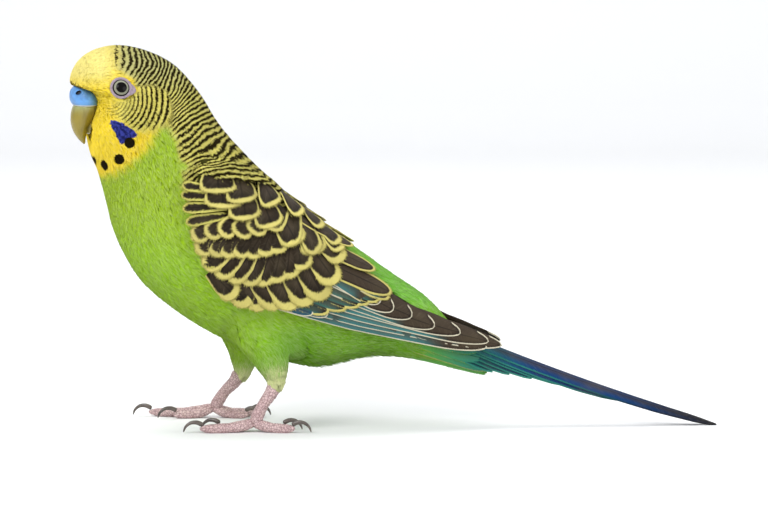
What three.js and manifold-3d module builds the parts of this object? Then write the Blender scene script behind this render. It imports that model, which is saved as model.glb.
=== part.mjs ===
// A budgerigar at life size, standing on a flat floor with its tail tip resting on it.
// Millimetres, +Z up. The bird faces -X, its left side is -Y, and the floor is z = 0.
import * as THREE from "three";
import { mergeVertices } from "three/addons/utils/BufferGeometryUtils.js";
import Module from "manifold-3d";

const wasm = await Module();
wasm.setup();

// Driving sizes
const GAP = 0.3; // clear space between neighbouring nodes
const ROOM = 0.42; // how much a curved neighbour is grown to cut that space
const TURN_PIVOT_X = -62; // upright axis in the neck that the head turns about
const BODY_RINGS = 34;
const BODY_SIDES = 24;
const CUT_REACH = 90; // size of the slabs that part the body
const FULLNESS_SCALE = 20; // brings the body's fullness to the size of its other measures in a curve

const EYE = {
  x: -72.5,
  z: 89.6,
  radius: 3.0,
  sunk: 2.0,
  detail: 8,
  lidRadius: 2.7,
  lidTube: 0.45,
  lidSides: 5,
  lidSteps: 16,
};
const EYE_SEARCH = { first: 10, rings: 50, sides: 60, step: 0.01 };
const NOSTRIL = { x: -81.6, z: 87.2, side: 2.3, radius: 0.6 };

// The bed of the bill: beside cere and bill the face stays behind x, curving back from the cheeks'
// inner edge, and above and below the bed it swells forward again over fade.
const BED = { x: -78.8, curve: 0.05, edge: 4.5, top: 87.4, foot: 75.6, fade: 3.2, open: 12, soft: 0.9 };

const COLOURS = {
  face: 0xf2d54a,
  body: 0x8fbf2f,
  barring: 0xb7a84e,
  flight: 0x4a4030,
  tail: 0x23517f,
  horn: 0x8f8a3a,
  cere: 0x5a93cf,
  leg: 0xb59a97,
  claw: 0x5a5249,
  eye: 0x15130f,
};

// Cross-sections of the body from the face to the tail, each held between a point on the upper
// outline and one on the lower outline. half is half its breadth, low fills it below the middle,
// and turn is how far the head's turn to the left has carried it round, in degrees.
const BODY_STATIONS = [
  { name: "face", top: [-82.2, 87.2], foot: [-81.3, 84.8], half: 1.0, low: 0, turn: 15 },
  { name: "forehead", top: [-84.0, 90.4], foot: [-79.7, 81.2], half: 4.6, low: -0.1, turn: 15 },
  { name: "brow", top: [-82.7, 94.2], foot: [-79.3, 77.2], half: 7.4, low: -0.08, turn: 15 },
  { name: "lores", top: [-80.0, 97.0], foot: [-78.9, 73.6], half: 10.0, low: 0.05, turn: 15 },
  { name: "eye", top: [-75.8, 98.8], foot: [-78.3, 70.2], half: 11.5, low: 0.08, turn: 15 },
  { name: "crown", top: [-70.9, 99.3], foot: [-76.9, 66.8], half: 12.2, low: 0.08, turn: 15 },
  { name: "ear", top: [-64.2, 97.9], foot: [-75.8, 62.8], half: 12.6, low: 0.06, turn: 14 },
  { name: "nape", top: [-57.0, 94.2], foot: [-74.6, 57.8], half: 13.0, low: 0.04, turn: 11 },
  { name: "neck", top: [-50.8, 87.4], foot: [-73.3, 52.2], half: 14.0, low: 0.04, turn: 6 },
  { name: "shoulder", top: [-45.1, 78.4], foot: [-70.5, 45.4], half: 16.0, low: 0.04, turn: 2 },
  { name: "mantle", top: [-38.0, 70.3], foot: [-65.8, 37.9], half: 18.0, low: 0.04, turn: 0 },
  { name: "back", top: [-29.4, 62.2], foot: [-58.3, 31.2], half: 19.0, low: 0.04, turn: 0 },
  { name: "saddle", top: [-19.8, 54.3], foot: [-48.5, 24.8], half: 18.6, low: 0.04, turn: 0 },
  { name: "loin", top: [-10.1, 46.8], foot: [-36.0, 19.0], half: 17.0, low: 0.04, turn: 0 },
  { name: "rump", top: [-1.0, 40.3], foot: [-21.5, 15.8], half: 13.6, low: 0, turn: 0 },
  { name: "vent", top: [8.6, 33.6], foot: [-5.0, 18.4], half: 9.6, low: 0, turn: 0 },
  { name: "coverts", top: [17.0, 24.4], foot: [12.0, 15.9], half: 6.2, low: 0, turn: 0 },
  { name: "tail root", top: [25.4, 16.6], foot: [24.6, 13.4], half: 2.6, low: 0, turn: 0 },
];

// The folded wings lie on a larger mould round the same body, which runs on to the wing tips.
const WING_STATIONS = [
  { name: "front", top: [-52.0, 89.0], foot: [-75.0, 53.5], half: 15.0 },
  { name: "shoulder", top: [-45.3, 79.2], foot: [-70.7, 45.5], half: 18.4 },
  { name: "mantle", top: [-38.0, 71.2], foot: [-65.6, 38.0], half: 20.8 },
  { name: "back", top: [-29.4, 63.2], foot: [-58.3, 31.2], half: 21.8 },
  { name: "saddle", top: [-19.8, 55.4], foot: [-48.5, 24.8], half: 21.4 },
  { name: "loin", top: [-10.0, 47.8], foot: [-36.0, 19.4], half: 19.6 },
  { name: "tertials", top: [-0.5, 40.4], foot: [-21.0, 14.5], half: 16.2 },
  { name: "primaries", top: [9.6, 33.4], foot: [-4.0, 11.0], half: 12.4 },
  { name: "tip base", top: [19.6, 28.4], foot: [11.0, 9.0], half: 9.2 },
  { name: "tips", top: [29.0, 23.6], foot: [25.0, 8.0], half: 7.6 },
  { name: "beyond", top: [38.0, 19.4], foot: [36.0, 6.0], half: 6.0 },
];

// Geometry helpers

// A closed surface through rings of as many points each, with both ends capped from the middle.
function ringGeometry(rings) {
  const sides = rings[0].length;
  const points = rings.flat();
  const faces = [];
  for (let i = 0; i + 1 < rings.length; i++)
    for (let j = 0; j < sides; j++) {
      const a = i * sides + j;
      const b = i * sides + ((j + 1) % sides);
      faces.push(a, b, b + sides, a, b + sides, a + sides);
    }
  for (const [start, flip] of [[0, true], [(rings.length - 1) * sides, false]]) {
    const middle = new THREE.Vector3();
    for (let j = 0; j < sides; j++) middle.addScaledVector(points[start + j], 1 / sides);
    const hub = points.push(middle) - 1;
    for (let j = 0; j < sides; j++) {
      const a = start + j;
      const b = start + ((j + 1) % sides);
      faces.push(...(flip ? [hub, b, a] : [hub, a, b]));
    }
  }
  const geometry = new THREE.BufferGeometry().setFromPoints(points);
  return geometry.setIndex(faces);
}

// A closed plate between two grids of places of one size, split into triangles alike on both faces.
function plateGeometry(upper, lower) {
  const columns = upper[0].length;
  const last = upper.length - 1;
  const below = upper.length * columns;
  const faces = [];
  const quad = (a, b, c, d) => faces.push(a, b, c, a, c, d);
  for (let i = 0; i < last; i++) {
    for (let k = 0; k + 1 < columns; k++) {
      const a = i * columns + k;
      const b = a + below;
      quad(a, a + 1, a + columns + 1, a + columns);
      faces.push(b, b + columns + 1, b + 1, b, b + columns, b + columns + 1);
    }
    const start = i * columns;
    const end = start + columns - 1;
    quad(start, start + columns, start + columns + below, start + below);
    quad(end + columns, end, end + below, end + columns + below);
  }
  for (let k = 0; k + 1 < columns; k++) {
    const far = last * columns + k;
    quad(k + 1, k, k + below, k + 1 + below);
    quad(far, far + 1, far + 1 + below, far + below);
  }
  const points = [...upper.flat(), ...lower.flat()];
  return new THREE.BufferGeometry().setFromPoints(points).setIndex(faces);
}

// A closed geometry as a manifold-3d solid, turned right side out if it needs it.
function solidOf(geometry) {
  const bare = new THREE.BufferGeometry();
  bare.setAttribute("position", geometry.getAttribute("position"));
  if (geometry.index) bare.setIndex(geometry.index);
  const merged = mergeVertices(bare, 1e-4);
  const vertProperties = new Float32Array(merged.attributes.position.array);
  const triVerts = new Uint32Array(merged.index.array);
  const made = new wasm.Manifold(new wasm.Mesh({ numProp: 3, vertProperties, triVerts }));
  if (made.volume() > 0) return made;
  for (let i = 0; i < triVerts.length; i += 3)
    [triVerts[i], triVerts[i + 1]] = [triVerts[i + 1], triVerts[i]];
  return new wasm.Manifold(new wasm.Mesh({ numProp: 3, vertProperties, triVerts }));
}

function geometryOf(solid) {
  const mesh = solid.getMesh();
  const places = new Float32Array(mesh.numVert * 3);
  for (let i = 0; i < mesh.numVert; i++)
    places.set(mesh.vertProperties.subarray(i * mesh.numProp, i * mesh.numProp + 3), i * 3);
  const geometry = new THREE.BufferGeometry();
  geometry.setAttribute("position", new THREE.BufferAttribute(places, 3));
  geometry.setIndex(new THREE.BufferAttribute(new Uint32Array(mesh.triVerts), 1));
  geometry.computeVertexNormals();
  return geometry;
}

function largest(solid) {
  return solid.decompose().reduce((best, s) => (s.volume() > best.volume() ? s : best));
}

function mirrored(solid) {
  const geometry = geometryOf(solid).scale(1, -1, 1);
  return solidOf(geometry);
}

function ball(centre, radius, detail) {
  const geometry = new THREE.SphereGeometry(radius, detail * 2, detail);
  return solidOf(geometry.translate(centre.x, centre.y, centre.z));
}

// A tube of round section through places with radii, whose ends are closed flat.
function tube(places, radii, sides, grow = 0, steps = 2) {
  const line = new THREE.CatmullRomCurve3(places, false, "centripetal");
  const count = (places.length - 1) * steps;
  const rings = [];
  for (let i = 0; i <= count; i++) {
    const share = i / count;
    const middle = line.getPoint(share);
    const along = line.getTangent(share);
    const across = new THREE.Vector3(0, 1, 0).addScaledVector(along, -along.y).normalize();
    const up = new THREE.Vector3().crossVectors(along, across).normalize();
    const place = share * (radii.length - 1);
    const k = Math.min(radii.length - 2, Math.floor(place));
    const radius = THREE.MathUtils.lerp(radii[k], radii[k + 1], place - k) + grow;
    const ring = [];
    for (let j = 0; j < sides; j++) {
      const angle = (j / sides) * 2 * Math.PI;
      ring.push(
        middle
          .clone()
          .addScaledVector(across, radius * Math.cos(angle))
          .addScaledVector(up, radius * Math.sin(angle)),
      );
    }
    rings.push(ring);
  }
  if (grow > 0) {
    const first = line.getTangent(0);
    const last = line.getTangent(1);
    rings[0].forEach((p) => p.addScaledVector(first, -grow));
    rings[rings.length - 1].forEach((p) => p.addScaledVector(last, grow));
  }
  return solidOf(ringGeometry(rings));
}

// Moulds

// Smooth lines through the stations: upper outline, lower outline, and breadth, fullness and turn.
function mould(stations) {
  const curve = (points) => new THREE.CatmullRomCurve3(points, false, "centripetal");
  return {
    top: curve(stations.map((s) => new THREE.Vector3(s.top[0], 0, s.top[1]))),
    foot: curve(stations.map((s) => new THREE.Vector3(s.foot[0], 0, s.foot[1]))),
    breadth: curve(
      stations.map((s) => new THREE.Vector3(s.half, (s.low || 0) * FULLNESS_SCALE, s.turn || 0)),
    ),
    at: (name) => stations.findIndex((s) => s.name === name) / (stations.length - 1),
  };
}
const BODY = { ...mould(BODY_STATIONS), bedded: true };
const WING = mould(WING_STATIONS);

// A place on a mould: share runs from the first station to the last, and angle from 0 at the top
// round the left side. lift raises it off the mould.
function onMould(shape, share, angle, lift = 0) {
  const top = shape.top.getPoint(share);
  const foot = shape.foot.getPoint(share);
  const breadth = shape.breadth.getPoint(share);
  const up = top.clone().sub(foot);
  const half = up.length() / 2;
  up.normalize();
  const fullness = 1 - (breadth.y / FULLNESS_SCALE) * Math.cos(angle);
  const place = top
    .add(foot)
    .multiplyScalar(0.5)
    .addScaledVector(up, (half + lift) * Math.cos(angle));
  place.y -= (breadth.x + lift) * Math.sin(angle) * fullness;
  if (shape.bedded) place.x = behindBill(place, lift);
  return turned(place, breadth.z);
}

// The x of a place on the face, held behind the bed of the bill.
function behindBill(place, lift) {
  const above = THREE.MathUtils.smoothstep(place.z, BED.top, BED.top + BED.fade);
  const below = 1 - THREE.MathUtils.smoothstep(place.z, BED.foot - BED.fade, BED.foot);
  const beside = Math.max(Math.abs(place.y) - BED.edge, 0);
  const bed = BED.x - lift + BED.curve * beside * beside - BED.open * Math.max(above, below);
  const over = place.x - bed;
  return place.x + (Math.hypot(over, BED.soft) - over) / 2;
}

function turned(place, degrees) {
  const angle = THREE.MathUtils.degToRad(degrees);
  const x = place.x - TURN_PIVOT_X;
  return new THREE.Vector3(
    TURN_PIVOT_X + x * Math.cos(angle) - place.y * Math.sin(angle),
    x * Math.sin(angle) + place.y * Math.cos(angle),
    place.z,
  );
}

function bodySolid(lift, rings, sides) {
  const all = [];
  for (let i = 0; i <= rings; i++) {
    const ring = [];
    for (let j = 0; j < sides; j++)
      ring.push(onMould(BODY, i / rings, (j / sides) * 2 * Math.PI, lift));
    all.push(ring);
  }
  return solidOf(ringGeometry(all));
}

// A thin slab across the body at one of its stations, which parts it there.
function partingSlab(name) {
  const share = BODY.at(name);
  const top = BODY.top.getPoint(share);
  const foot = BODY.foot.getPoint(share);
  const box = new THREE.BoxGeometry(GAP, CUT_REACH, CUT_REACH);
  box.rotateY(Math.atan2(top.x - foot.x, top.z - foot.z));
  box.translate((top.x + foot.x) / 2, 0, (top.z + foot.z) / 2);
  return solidOf(box);
}

// Cere and bill as upright stacks of sections from the top down, each with its front, back and
// half breadth.
const CERE_SECTIONS = [
  { z: 88.8, front: -82.4, back: -80.6, half: 1.2 },
  { z: 88.0, front: -83.6, back: -79.2, half: 3.4 },
  { z: 86.6, front: -84.0, back: -78.0, half: 4.6 },
  { z: 85.2, front: -83.9, back: -77.4, half: 4.9 },
  { z: 84.0, front: -83.4, back: -77.2, half: 4.7 },
];
const BILL_SECTIONS = [
  { z: 83.7, front: -83.4, back: -77.2, half: 4.5 },
  { z: 82.0, front: -83.9, back: -77.4, half: 4.1 },
  { z: 79.6, front: -84.0, back: -78.6, half: 3.4 },
  { z: 77.2, front: -83.4, back: -79.8, half: 2.5 },
  { z: 75.4, front: -82.3, back: -80.2, half: 1.6 },
  { z: 73.8, front: -80.9, back: -80.2, half: 0.4 },
];
const LOWER_BILL_SECTIONS = [
  { z: 80.6, front: -79.6, back: -75.8, half: 2.9 },
  { z: 78.8, front: -80.4, back: -76.2, half: 2.7 },
  { z: 77.2, front: -80.2, back: -77.4, half: 1.9 },
  { z: 76.4, front: -79.8, back: -78.4, half: 0.9 },
];

function stack(sections, grow = 0, steps = 2, sides = 12) {
  const line = (place) => new THREE.CatmullRomCurve3(sections.map(place));
  const front = line((s) => new THREE.Vector3(s.front, 0, s.z));
  const back = line((s) => new THREE.Vector3(s.back, 0, s.z));
  const half = line((s) => new THREE.Vector3(s.half, 0, 0));
  const count = (sections.length - 1) * steps;
  const rings = [];
  for (let i = 0; i <= count; i++) {
    const f = front.getPoint(i / count);
    const b = back.getPoint(i / count);
    const w = half.getPoint(i / count).x + grow;
    const middle = f.clone().add(b).multiplyScalar(0.5);
    const reach = f.distanceTo(b) / 2 + grow;
    const ring = [];
    for (let j = 0; j < sides; j++) {
      const angle = (j / sides) * 2 * Math.PI;
      const place = new THREE.Vector3(
        middle.x - reach * Math.cos(angle),
        -w * Math.sin(angle),
        THREE.MathUtils.lerp(f.z, b.z, (1 - Math.cos(angle)) / 2),
      );
      if (grow > 0 && i === 0) place.z += grow;
      if (grow > 0 && i === count) place.z -= grow;
      ring.push(turned(place, BODY_STATIONS[0].turn));
    }
    rings.push(ring);
  }
  return solidOf(ringGeometry(rings));
}

// Legs and feet. The left leg's side is -Y. Toes 2 and 3 point forward and toes 1 and 4 back. A
// thigh is a row of places down its middle, each with its distance from the bird's middle plane.
const LEGS = {
  left: {
    side: -1,
    ankle: [-31.4, 10.8],
    hub: [-36.2, 3.4],
    thigh: [
      { x: -35.5, out: 8.0, z: 29, radius: 9.0 },
      { x: -33.8, out: 10.6, z: 23.9, radius: 7.6 },
      { x: -32.2, out: 11.9, z: 20.4, radius: 5.7 },
      { x: -31.1, out: 12.5, z: 17.4, radius: 4.3 },
      { x: -30.5, out: 12.8, z: 14.8, radius: 3.1 },
      { x: -30.4, out: 13.0, z: 12.6, radius: 2.5 },
      { x: -30.8, out: 13.0, z: 11.0, radius: 1.9 },
    ],
  },
  right: {
    side: 1,
    ankle: [-41.7, 10.2],
    hub: [-47.8, 3.6],
    thigh: [
      { x: -41.5, out: 8.0, z: 28, radius: 8.6 },
      { x: -39.6, out: 10.6, z: 22.4, radius: 7.0 },
      { x: -39.4, out: 11.9, z: 18.8, radius: 5.2 },
      { x: -39.6, out: 12.5, z: 15.9, radius: 3.7 },
      { x: -39.7, out: 12.8, z: 13.4, radius: 2.8 },
      { x: -40.1, out: 13.0, z: 11.6, radius: 2.3 },
      { x: -41.0, out: 13.0, z: 10.2, radius: 1.8 },
    ],
  },
};
const TOES = [
  { number: 1, length: { left: 8.6, right: 9.6 }, heading: 168, radius: 1.1 },
  { number: 2, length: { left: 9.8, right: 10.6 }, heading: 12, radius: 1.1 },
  { number: 3, length: { left: 14.0, right: 17.4 }, heading: -8, radius: 1.3 },
  { number: 4, length: { left: 10.9, right: 11.2 }, heading: -171, radius: 1.25 },
];
// The claw's middle line, from the toe's end forwards and down, with its radius
const CLAW = [
  { ahead: -0.9, z: 2.1, radius: 0.65 },
  { ahead: 0.7, z: 2.8, radius: 0.58 },
  { ahead: 2.3, z: 2.7, radius: 0.46 },
  { ahead: 3.6, z: 1.7, radius: 0.34 },
  { ahead: 4.2, z: 0.3, radius: 0.16 },
];
const FOOT_SIDE = 13; // distance of each foot from the bird's middle plane
const SHANK_RADII = [1.5, 1.8, 1.35, 1.6];
const HUB_RADIUS = 1.75;
const TOE_JOINTS = [1.15, 1, 1.08, 0.94, 1.04, 0.9, 0.6]; // share of a toe's radius along its length
const FLOOR_FLAT = 0.2; // how much of each toe's roundness the floor takes off
const FLOOR = { length: 400, width: 200, depth: 50 };
const FLOOR_BOX = solidOf(
  new THREE.BoxGeometry(FLOOR.length, FLOOR.width, FLOOR.depth).translate(0, 0, -FLOOR.depth / 2),
);
const THIGH_SIDES = 12;
const SHANK_SIDES = 9;
const TOE_SIDES = 8;
const CLAW_SIDES = 6;
const SMALL_BALL = 5; // detail of the hubs and nostrils
const ANKLE_RISE = { ahead: 0.4, up: 2.4 }; // how far the shank reaches up into the thigh
const HUB_DROP = { shank: 0.6, ball: 1.2, toes: 0.9 }; // below the hub's height
// Shares of a toe's length where it bends, and how far its middle lies above rest there
const TOE_BENDS = [
  [0.3, 0.45],
  [0.6, 0],
  [1, 0.1],
];

function thigh(leg) {
  const places = leg.thigh.map((p) => new THREE.Vector3(p.x, leg.side * p.out, p.z));
  return tube(places, leg.thigh.map((p) => p.radius), THIGH_SIDES, 0, 1);
}

function shank(leg, grow = 0) {
  const [ax, az] = leg.ankle;
  const [hx, hz] = leg.hub;
  const y = leg.side * FOOT_SIDE;
  const places = [
    new THREE.Vector3(ax + ANKLE_RISE.ahead, y, az + ANKLE_RISE.up),
    new THREE.Vector3(ax, y, az),
    new THREE.Vector3((ax + hx) / 2, y, (az + hz) / 2),
    new THREE.Vector3(hx, y, hz - HUB_DROP.shank),
  ];
  const hub = ball(new THREE.Vector3(hx, y, hz - HUB_DROP.ball), HUB_RADIUS + grow, SMALL_BALL);
  return tube(places, SHANK_RADII, SHANK_SIDES, grow).add(hub).subtract(FLOOR_BOX);
}

function toePlaces(side, toe) {
  const leg = LEGS[side];
  const length = toe.length[side];
  const heading = THREE.MathUtils.degToRad(toe.heading);
  const ahead = new THREE.Vector3(-Math.cos(heading), -leg.side * Math.sin(heading), 0);
  const [hx, hz] = leg.hub;
  const root = new THREE.Vector3(hx, leg.side * FOOT_SIDE, hz - HUB_DROP.toes);
  const rest = toe.radius - FLOOR_FLAT;
  const bends = TOE_BENDS.map(([share, rise]) =>
    root.clone().addScaledVector(ahead, length * share).setZ(rest + rise),
  );
  return { ahead, places: [root, ...bends] };
}

function toeSolid(side, toe, grow = 0) {
  const radii = TOE_JOINTS.map((share) => share * toe.radius);
  return tube(toePlaces(side, toe).places, radii, TOE_SIDES, grow).subtract(FLOOR_BOX);
}

function clawSolid(side, toe, grow = 0) {
  const { ahead, places } = toePlaces(side, toe);
  const end = places[places.length - 1];
  const arc = CLAW.map((p) => end.clone().addScaledVector(ahead, p.ahead).setZ(p.z));
  return tube(arc, CLAW.map((p) => p.radius), CLAW_SIDES, grow, 1).subtract(FLOOR_BOX);
}

// Feathers. A vane's rows run from its root to its tip, as shares of its length and of its half
// breadth, with a place on each of its edges and, on a ribbed one, down its middle.
const COVERT = {
  edges: [-1, 1],
  thickness: 1.1,
  rows: [
    [0, 0.75],
    [0.7, 1],
    [1, 0.4],
  ],
};
const FLIGHT = {
  edges: [-1, 0, 1],
  thickness: 0.7,
  rows: [
    [0, 0.75],
    [0.5, 1],
    [0.88, 0.74],
    [1, 0.24],
  ],
};

// The tiers of the folded wing. roots and tips are lines drawn on the wing as seen from its side,
// [x, z], and the tier's vanes are spread evenly along both, the first one outermost on the wing.
// breadth is a vane's full breadth at each end of the tier. lap is 1 where each vane lies over the
// one before it, and -1 where it goes under.
const WING_TIERS = [
  {
    name: "primaries",
    lap: 1,
    count: 8,
    form: FLIGHT,
    roots: [[-34.5, 37.0], [-30.4, 39.1], [-27.8, 41.1], [-24.0, 42.7]],
    tips: [
      [17.5, 23.0], [24.0, 22.8], [28.2, 23.2], [24.6, 24.8],
      [17.5, 27.0], [10.6, 29.2], [4.8, 31.4], [0.1, 34.0],
    ],
    breadth: [5.2, 7.0],
  },
  {
    name: "primary coverts",
    lap: 1,
    count: 2,
    form: COVERT,
    roots: [[-37.0, 38.5], [-34.0, 39.2]],
    tips: [[-20.5, 32.6], [-16.9, 32.0]],
    breadth: [4.0, 4.6],
  },
  {
    name: "secondaries",
    lap: 1,
    count: 6,
    form: FLIGHT,
    roots: [[-38.0, 43.5], [-27.8, 45.0], [-17.7, 48.0]],
    tips: [[-16.4, 33.4], [-6.2, 34.6], [-0.8, 36.3]],
    breadth: [6.0, 6.6],
  },
  {
    name: "tertials",
    lap: 1,
    count: 3,
    form: FLIGHT,
    roots: [[-28.5, 50.0], [-27.0, 53.0], [-25.5, 56.0]],
    tips: [[-1.0, 36.8], [-5.5, 42.2], [-12.0, 48.0]],
    breadth: [9.0, 7.5],
  },
  {
    name: "greater coverts",
    lap: 1,
    count: 8,
    form: COVERT,
    roots: [[-46.5, 44.4], [-40.0, 46.4], [-31.0, 47.9], [-22.0, 51.0]],
    tips: [[-32.2, 35.3], [-26.5, 34.6], [-19.2, 37.5], [-12.7, 42.0]],
    breadth: [5.4, 7.2],
  },
  {
    name: "median coverts",
    lap: -1,
    count: 8,
    form: COVERT,
    roots: [[-42.5, 53.6], [-37.7, 52.2], [-32.7, 51.4], [-27.9, 51.9], [-22.9, 53.3]],
    tips: [[-48.1, 45.8], [-41.8, 42.2], [-35.4, 41.0], [-28.8, 42.1], [-21.3, 46.1]],
    breadth: [6.0, 6.6],
  },
  {
    name: "lower lesser coverts",
    lap: -1,
    count: 6,
    form: COVERT,
    roots: [[-43.5, 57.7], [-38.8, 56.4], [-34.0, 55.9], [-27.7, 56.5]],
    tips: [[-49.4, 51.2], [-42.8, 49.4], [-35.7, 48.3], [-28.3, 49.8]],
    breadth: [5.6, 5.6],
  },
  {
    name: "upper lesser coverts",
    lap: -1,
    count: 5,
    form: COVERT,
    roots: [[-42.9, 61.6], [-38.1, 60.6], [-31.5, 59.6]],
    tips: [[-49.0, 55.8], [-41.0, 54.0], [-31.8, 54.4]],
    breadth: [5.4, 5.0],
  },
  {
    name: "marginal coverts",
    lap: -1,
    count: 3,
    form: COVERT,
    roots: [[-41.8, 64.2], [-43.2, 66.2], [-44.8, 68.4]],
    tips: [[-52.0, 58.0], [-52.8, 61.6], [-53.2, 65.2]],
    breadth: [4.6, 4.2],
  },
  {
    name: "scapulars",
    lap: 1,
    count: 5,
    form: COVERT,
    roots: [[-22.0, 55.0], [-32.0, 62.4], [-43.0, 69.0]],
    tips: [[-12.4, 47.7], [-24.1, 52.3], [-38.0, 58.6]],
    breadth: [7.2, 9.0],
  },
];
const WING_LIFT = { root: -1.0, tip: 0.4 }; // how high each end of a vane lies on the mould
const WING_TILT = 0.3; // how far a vane's free edge stands up and its other edge goes under
const WING_RIB = 0.12; // how much a ribbed vane's middle stands up
// The wing's body under the vanes: shares along the mould, with the angles of its upper and lower
// edges and its depth
const WING_CORE = [
  { share: 0.12, upper: 0.42, lower: 1.12, depth: 3.6 },
  { share: 0.2, upper: 0.36, lower: 1.42, depth: 4.4 },
  { share: 0.3, upper: 0.36, lower: 1.6, depth: 4.8 },
  { share: 0.42, upper: 0.4, lower: 1.6, depth: 4.6 },
  { share: 0.52, upper: 0.46, lower: 1.46, depth: 3.6 },
  { share: 0.62, upper: 0.52, lower: 1.28, depth: 2.4 },
  { share: 0.72, upper: 0.5, lower: 1.12, depth: 1.6 },
  { share: 0.8, upper: 0.42, lower: 0.92, depth: 1.1 },
];
const WING_CORE_LIFT = -0.35;
const CORE_ROWS = 12;
const CORE_COLUMNS = 6;
const SHARE_LIMIT = 0.995; // the last place of a mould that a vane may reach
const REACH_LIMITS = [-0.98, 0.995]; // lowest and highest places across it, as cosines
const STEP = 0.002; // small step for slopes along a mould
const SEARCH_STEPS = 24;
const MIDDLE_GAP = 0.2; // how far each wing stops short of the bird's middle plane

// The share and angle at which a mould's left side shows the place [x, z] from the side.
function sidePlace(shape, x, z) {
  let low = 0;
  let high = 1;
  for (let i = 0; i < SEARCH_STEPS; i++) {
    const share = (low + high) / 2;
    const top = shape.top.getPoint(share);
    const foot = shape.foot.getPoint(share);
    const beyond = (x - foot.x) * (top.z - foot.z) - (z - foot.z) * (top.x - foot.x);
    if (beyond > 0) low = share;
    else high = share;
  }
  const top = shape.top.getPoint(low);
  const foot = shape.foot.getPoint(low);
  const up = top.clone().sub(foot);
  const middle = top.clone().add(foot).multiplyScalar(0.5);
  const reach = new THREE.Vector3(x, 0, z).sub(middle).dot(up) / (up.lengthSq() / 2);
  return { share: low, angle: Math.acos(THREE.MathUtils.clamp(reach, ...REACH_LIMITS)) };
}

// The share and angle reached from a place on a mould by a small step along its surface.
function stepped(shape, place, step) {
  const { share, angle } = place;
  const here = onMould(shape, share, angle);
  const back = onMould(shape, Math.min(share + STEP, 1), angle).sub(here).divideScalar(STEP);
  const round = onMould(shape, share, angle + STEP).sub(here).divideScalar(STEP);
  const mixed = back.dot(round);
  const area = back.lengthSq() * round.lengthSq() - mixed * mixed;
  const alongBack = back.dot(step);
  const alongRound = round.dot(step);
  return {
    share: Math.min(share + (alongBack * round.lengthSq() - alongRound * mixed) / area, SHARE_LIMIT),
    angle: angle + (alongRound * back.lengthSq() - alongBack * mixed) / area,
  };
}

// One vane on a mould, from its root to its tip, each [x, z] as seen from the side.
function vane(shape, root, tip, breadth, form, lap) {
  const upper = [];
  const lower = [];
  for (const [share, broad] of form.rows) {
    const x = THREE.MathUtils.lerp(root.x, tip.x, share);
    const z = THREE.MathUtils.lerp(root.y, tip.y, share);
    const place = sidePlace(shape, x, z);
    const here = onMould(shape, place.share, place.angle);
    const along = new THREE.Vector3(tip.x - root.x, 0, tip.y - root.y).normalize();
    const out = onMould(shape, place.share, place.angle, 1).sub(here).normalize();
    const across = new THREE.Vector3().crossVectors(out, along).normalize();
    const lift = THREE.MathUtils.lerp(WING_LIFT.root, WING_LIFT.tip, share);
    const rows = [[], []];
    for (const edge of form.edges) {
      const step = across.clone().multiplyScalar((edge * broad * breadth) / 2);
      const spot = stepped(shape, place, step);
      const height = lift - lap * edge * WING_TILT + (edge === 0 ? WING_RIB : 0);
      rows[0].push(onMould(shape, spot.share, spot.angle, height));
      rows[1].push(onMould(shape, spot.share, spot.angle, height - form.thickness));
    }
    upper.push(rows[0]);
    lower.push(rows[1]);
  }
  return solidOf(plateGeometry(upper, lower));
}

function wingCore() {
  const column = (key) => WING_CORE.map((row) => row[key]);
  const line = (a, b) =>
    new THREE.CatmullRomCurve3(column(a).map((v, i) => new THREE.Vector3(v, column(b)[i], 0)));
  const edges = line("upper", "lower");
  const depths = line("share", "depth");
  const upper = [];
  const lower = [];
  for (let i = 0; i <= CORE_ROWS; i++) {
    const edge = edges.getPoint(i / CORE_ROWS);
    const depth = depths.getPoint(i / CORE_ROWS);
    const rows = [[], []];
    for (let k = 0; k < CORE_COLUMNS; k++) {
      const angle = THREE.MathUtils.lerp(edge.x, edge.y, k / (CORE_COLUMNS - 1));
      rows[0].push(onMould(WING, depth.x, angle, WING_CORE_LIFT));
      rows[1].push(onMould(WING, depth.x, angle, WING_CORE_LIFT - depth.y));
    }
    upper.push(rows[0]);
    lower.push(rows[1]);
  }
  return solidOf(plateGeometry(upper, lower));
}

// The left wing, whole: its core and every tier of vanes.
function wingSolid() {
  let wing = wingCore();
  const line = (points) =>
    new THREE.CatmullRomCurve3(points.map(([x, z]) => new THREE.Vector3(x, z, 0)));
  for (const tier of WING_TIERS) {
    const roots = line(tier.roots);
    const tips = line(tier.tips);
    for (let i = 0; i < tier.count; i++) {
      const share = i / (tier.count - 1);
      const breadth = THREE.MathUtils.lerp(tier.breadth[0], tier.breadth[1], share);
      const [root, tip] = [roots.getPoint(share), tips.getPoint(share)];
      wing = wing.add(vane(WING, root, tip, breadth, tier.form, tier.lap));
    }
  }
  const { length, width } = FLOOR;
  const beyondMiddle = new THREE.BoxGeometry(length, width, length);
  return wing.subtract(solidOf(beyondMiddle.translate(0, width / 2 - MIDDLE_GAP, 0)));
}

// The closed tail is a roof of pairs of long vanes, the middle pair on top. Its ridge falls from
// the rump to the floor.
const TAIL = { tip: 84.2, tipHeight: 0.75, slope: 0.3, bend: 0.00085, thickness: 0.6, step: 0.3 };
const ROOF = { across: 0.69, down: 0.72, round: 0.5 }; // slope of its sides and rounding at the ridge
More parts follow.
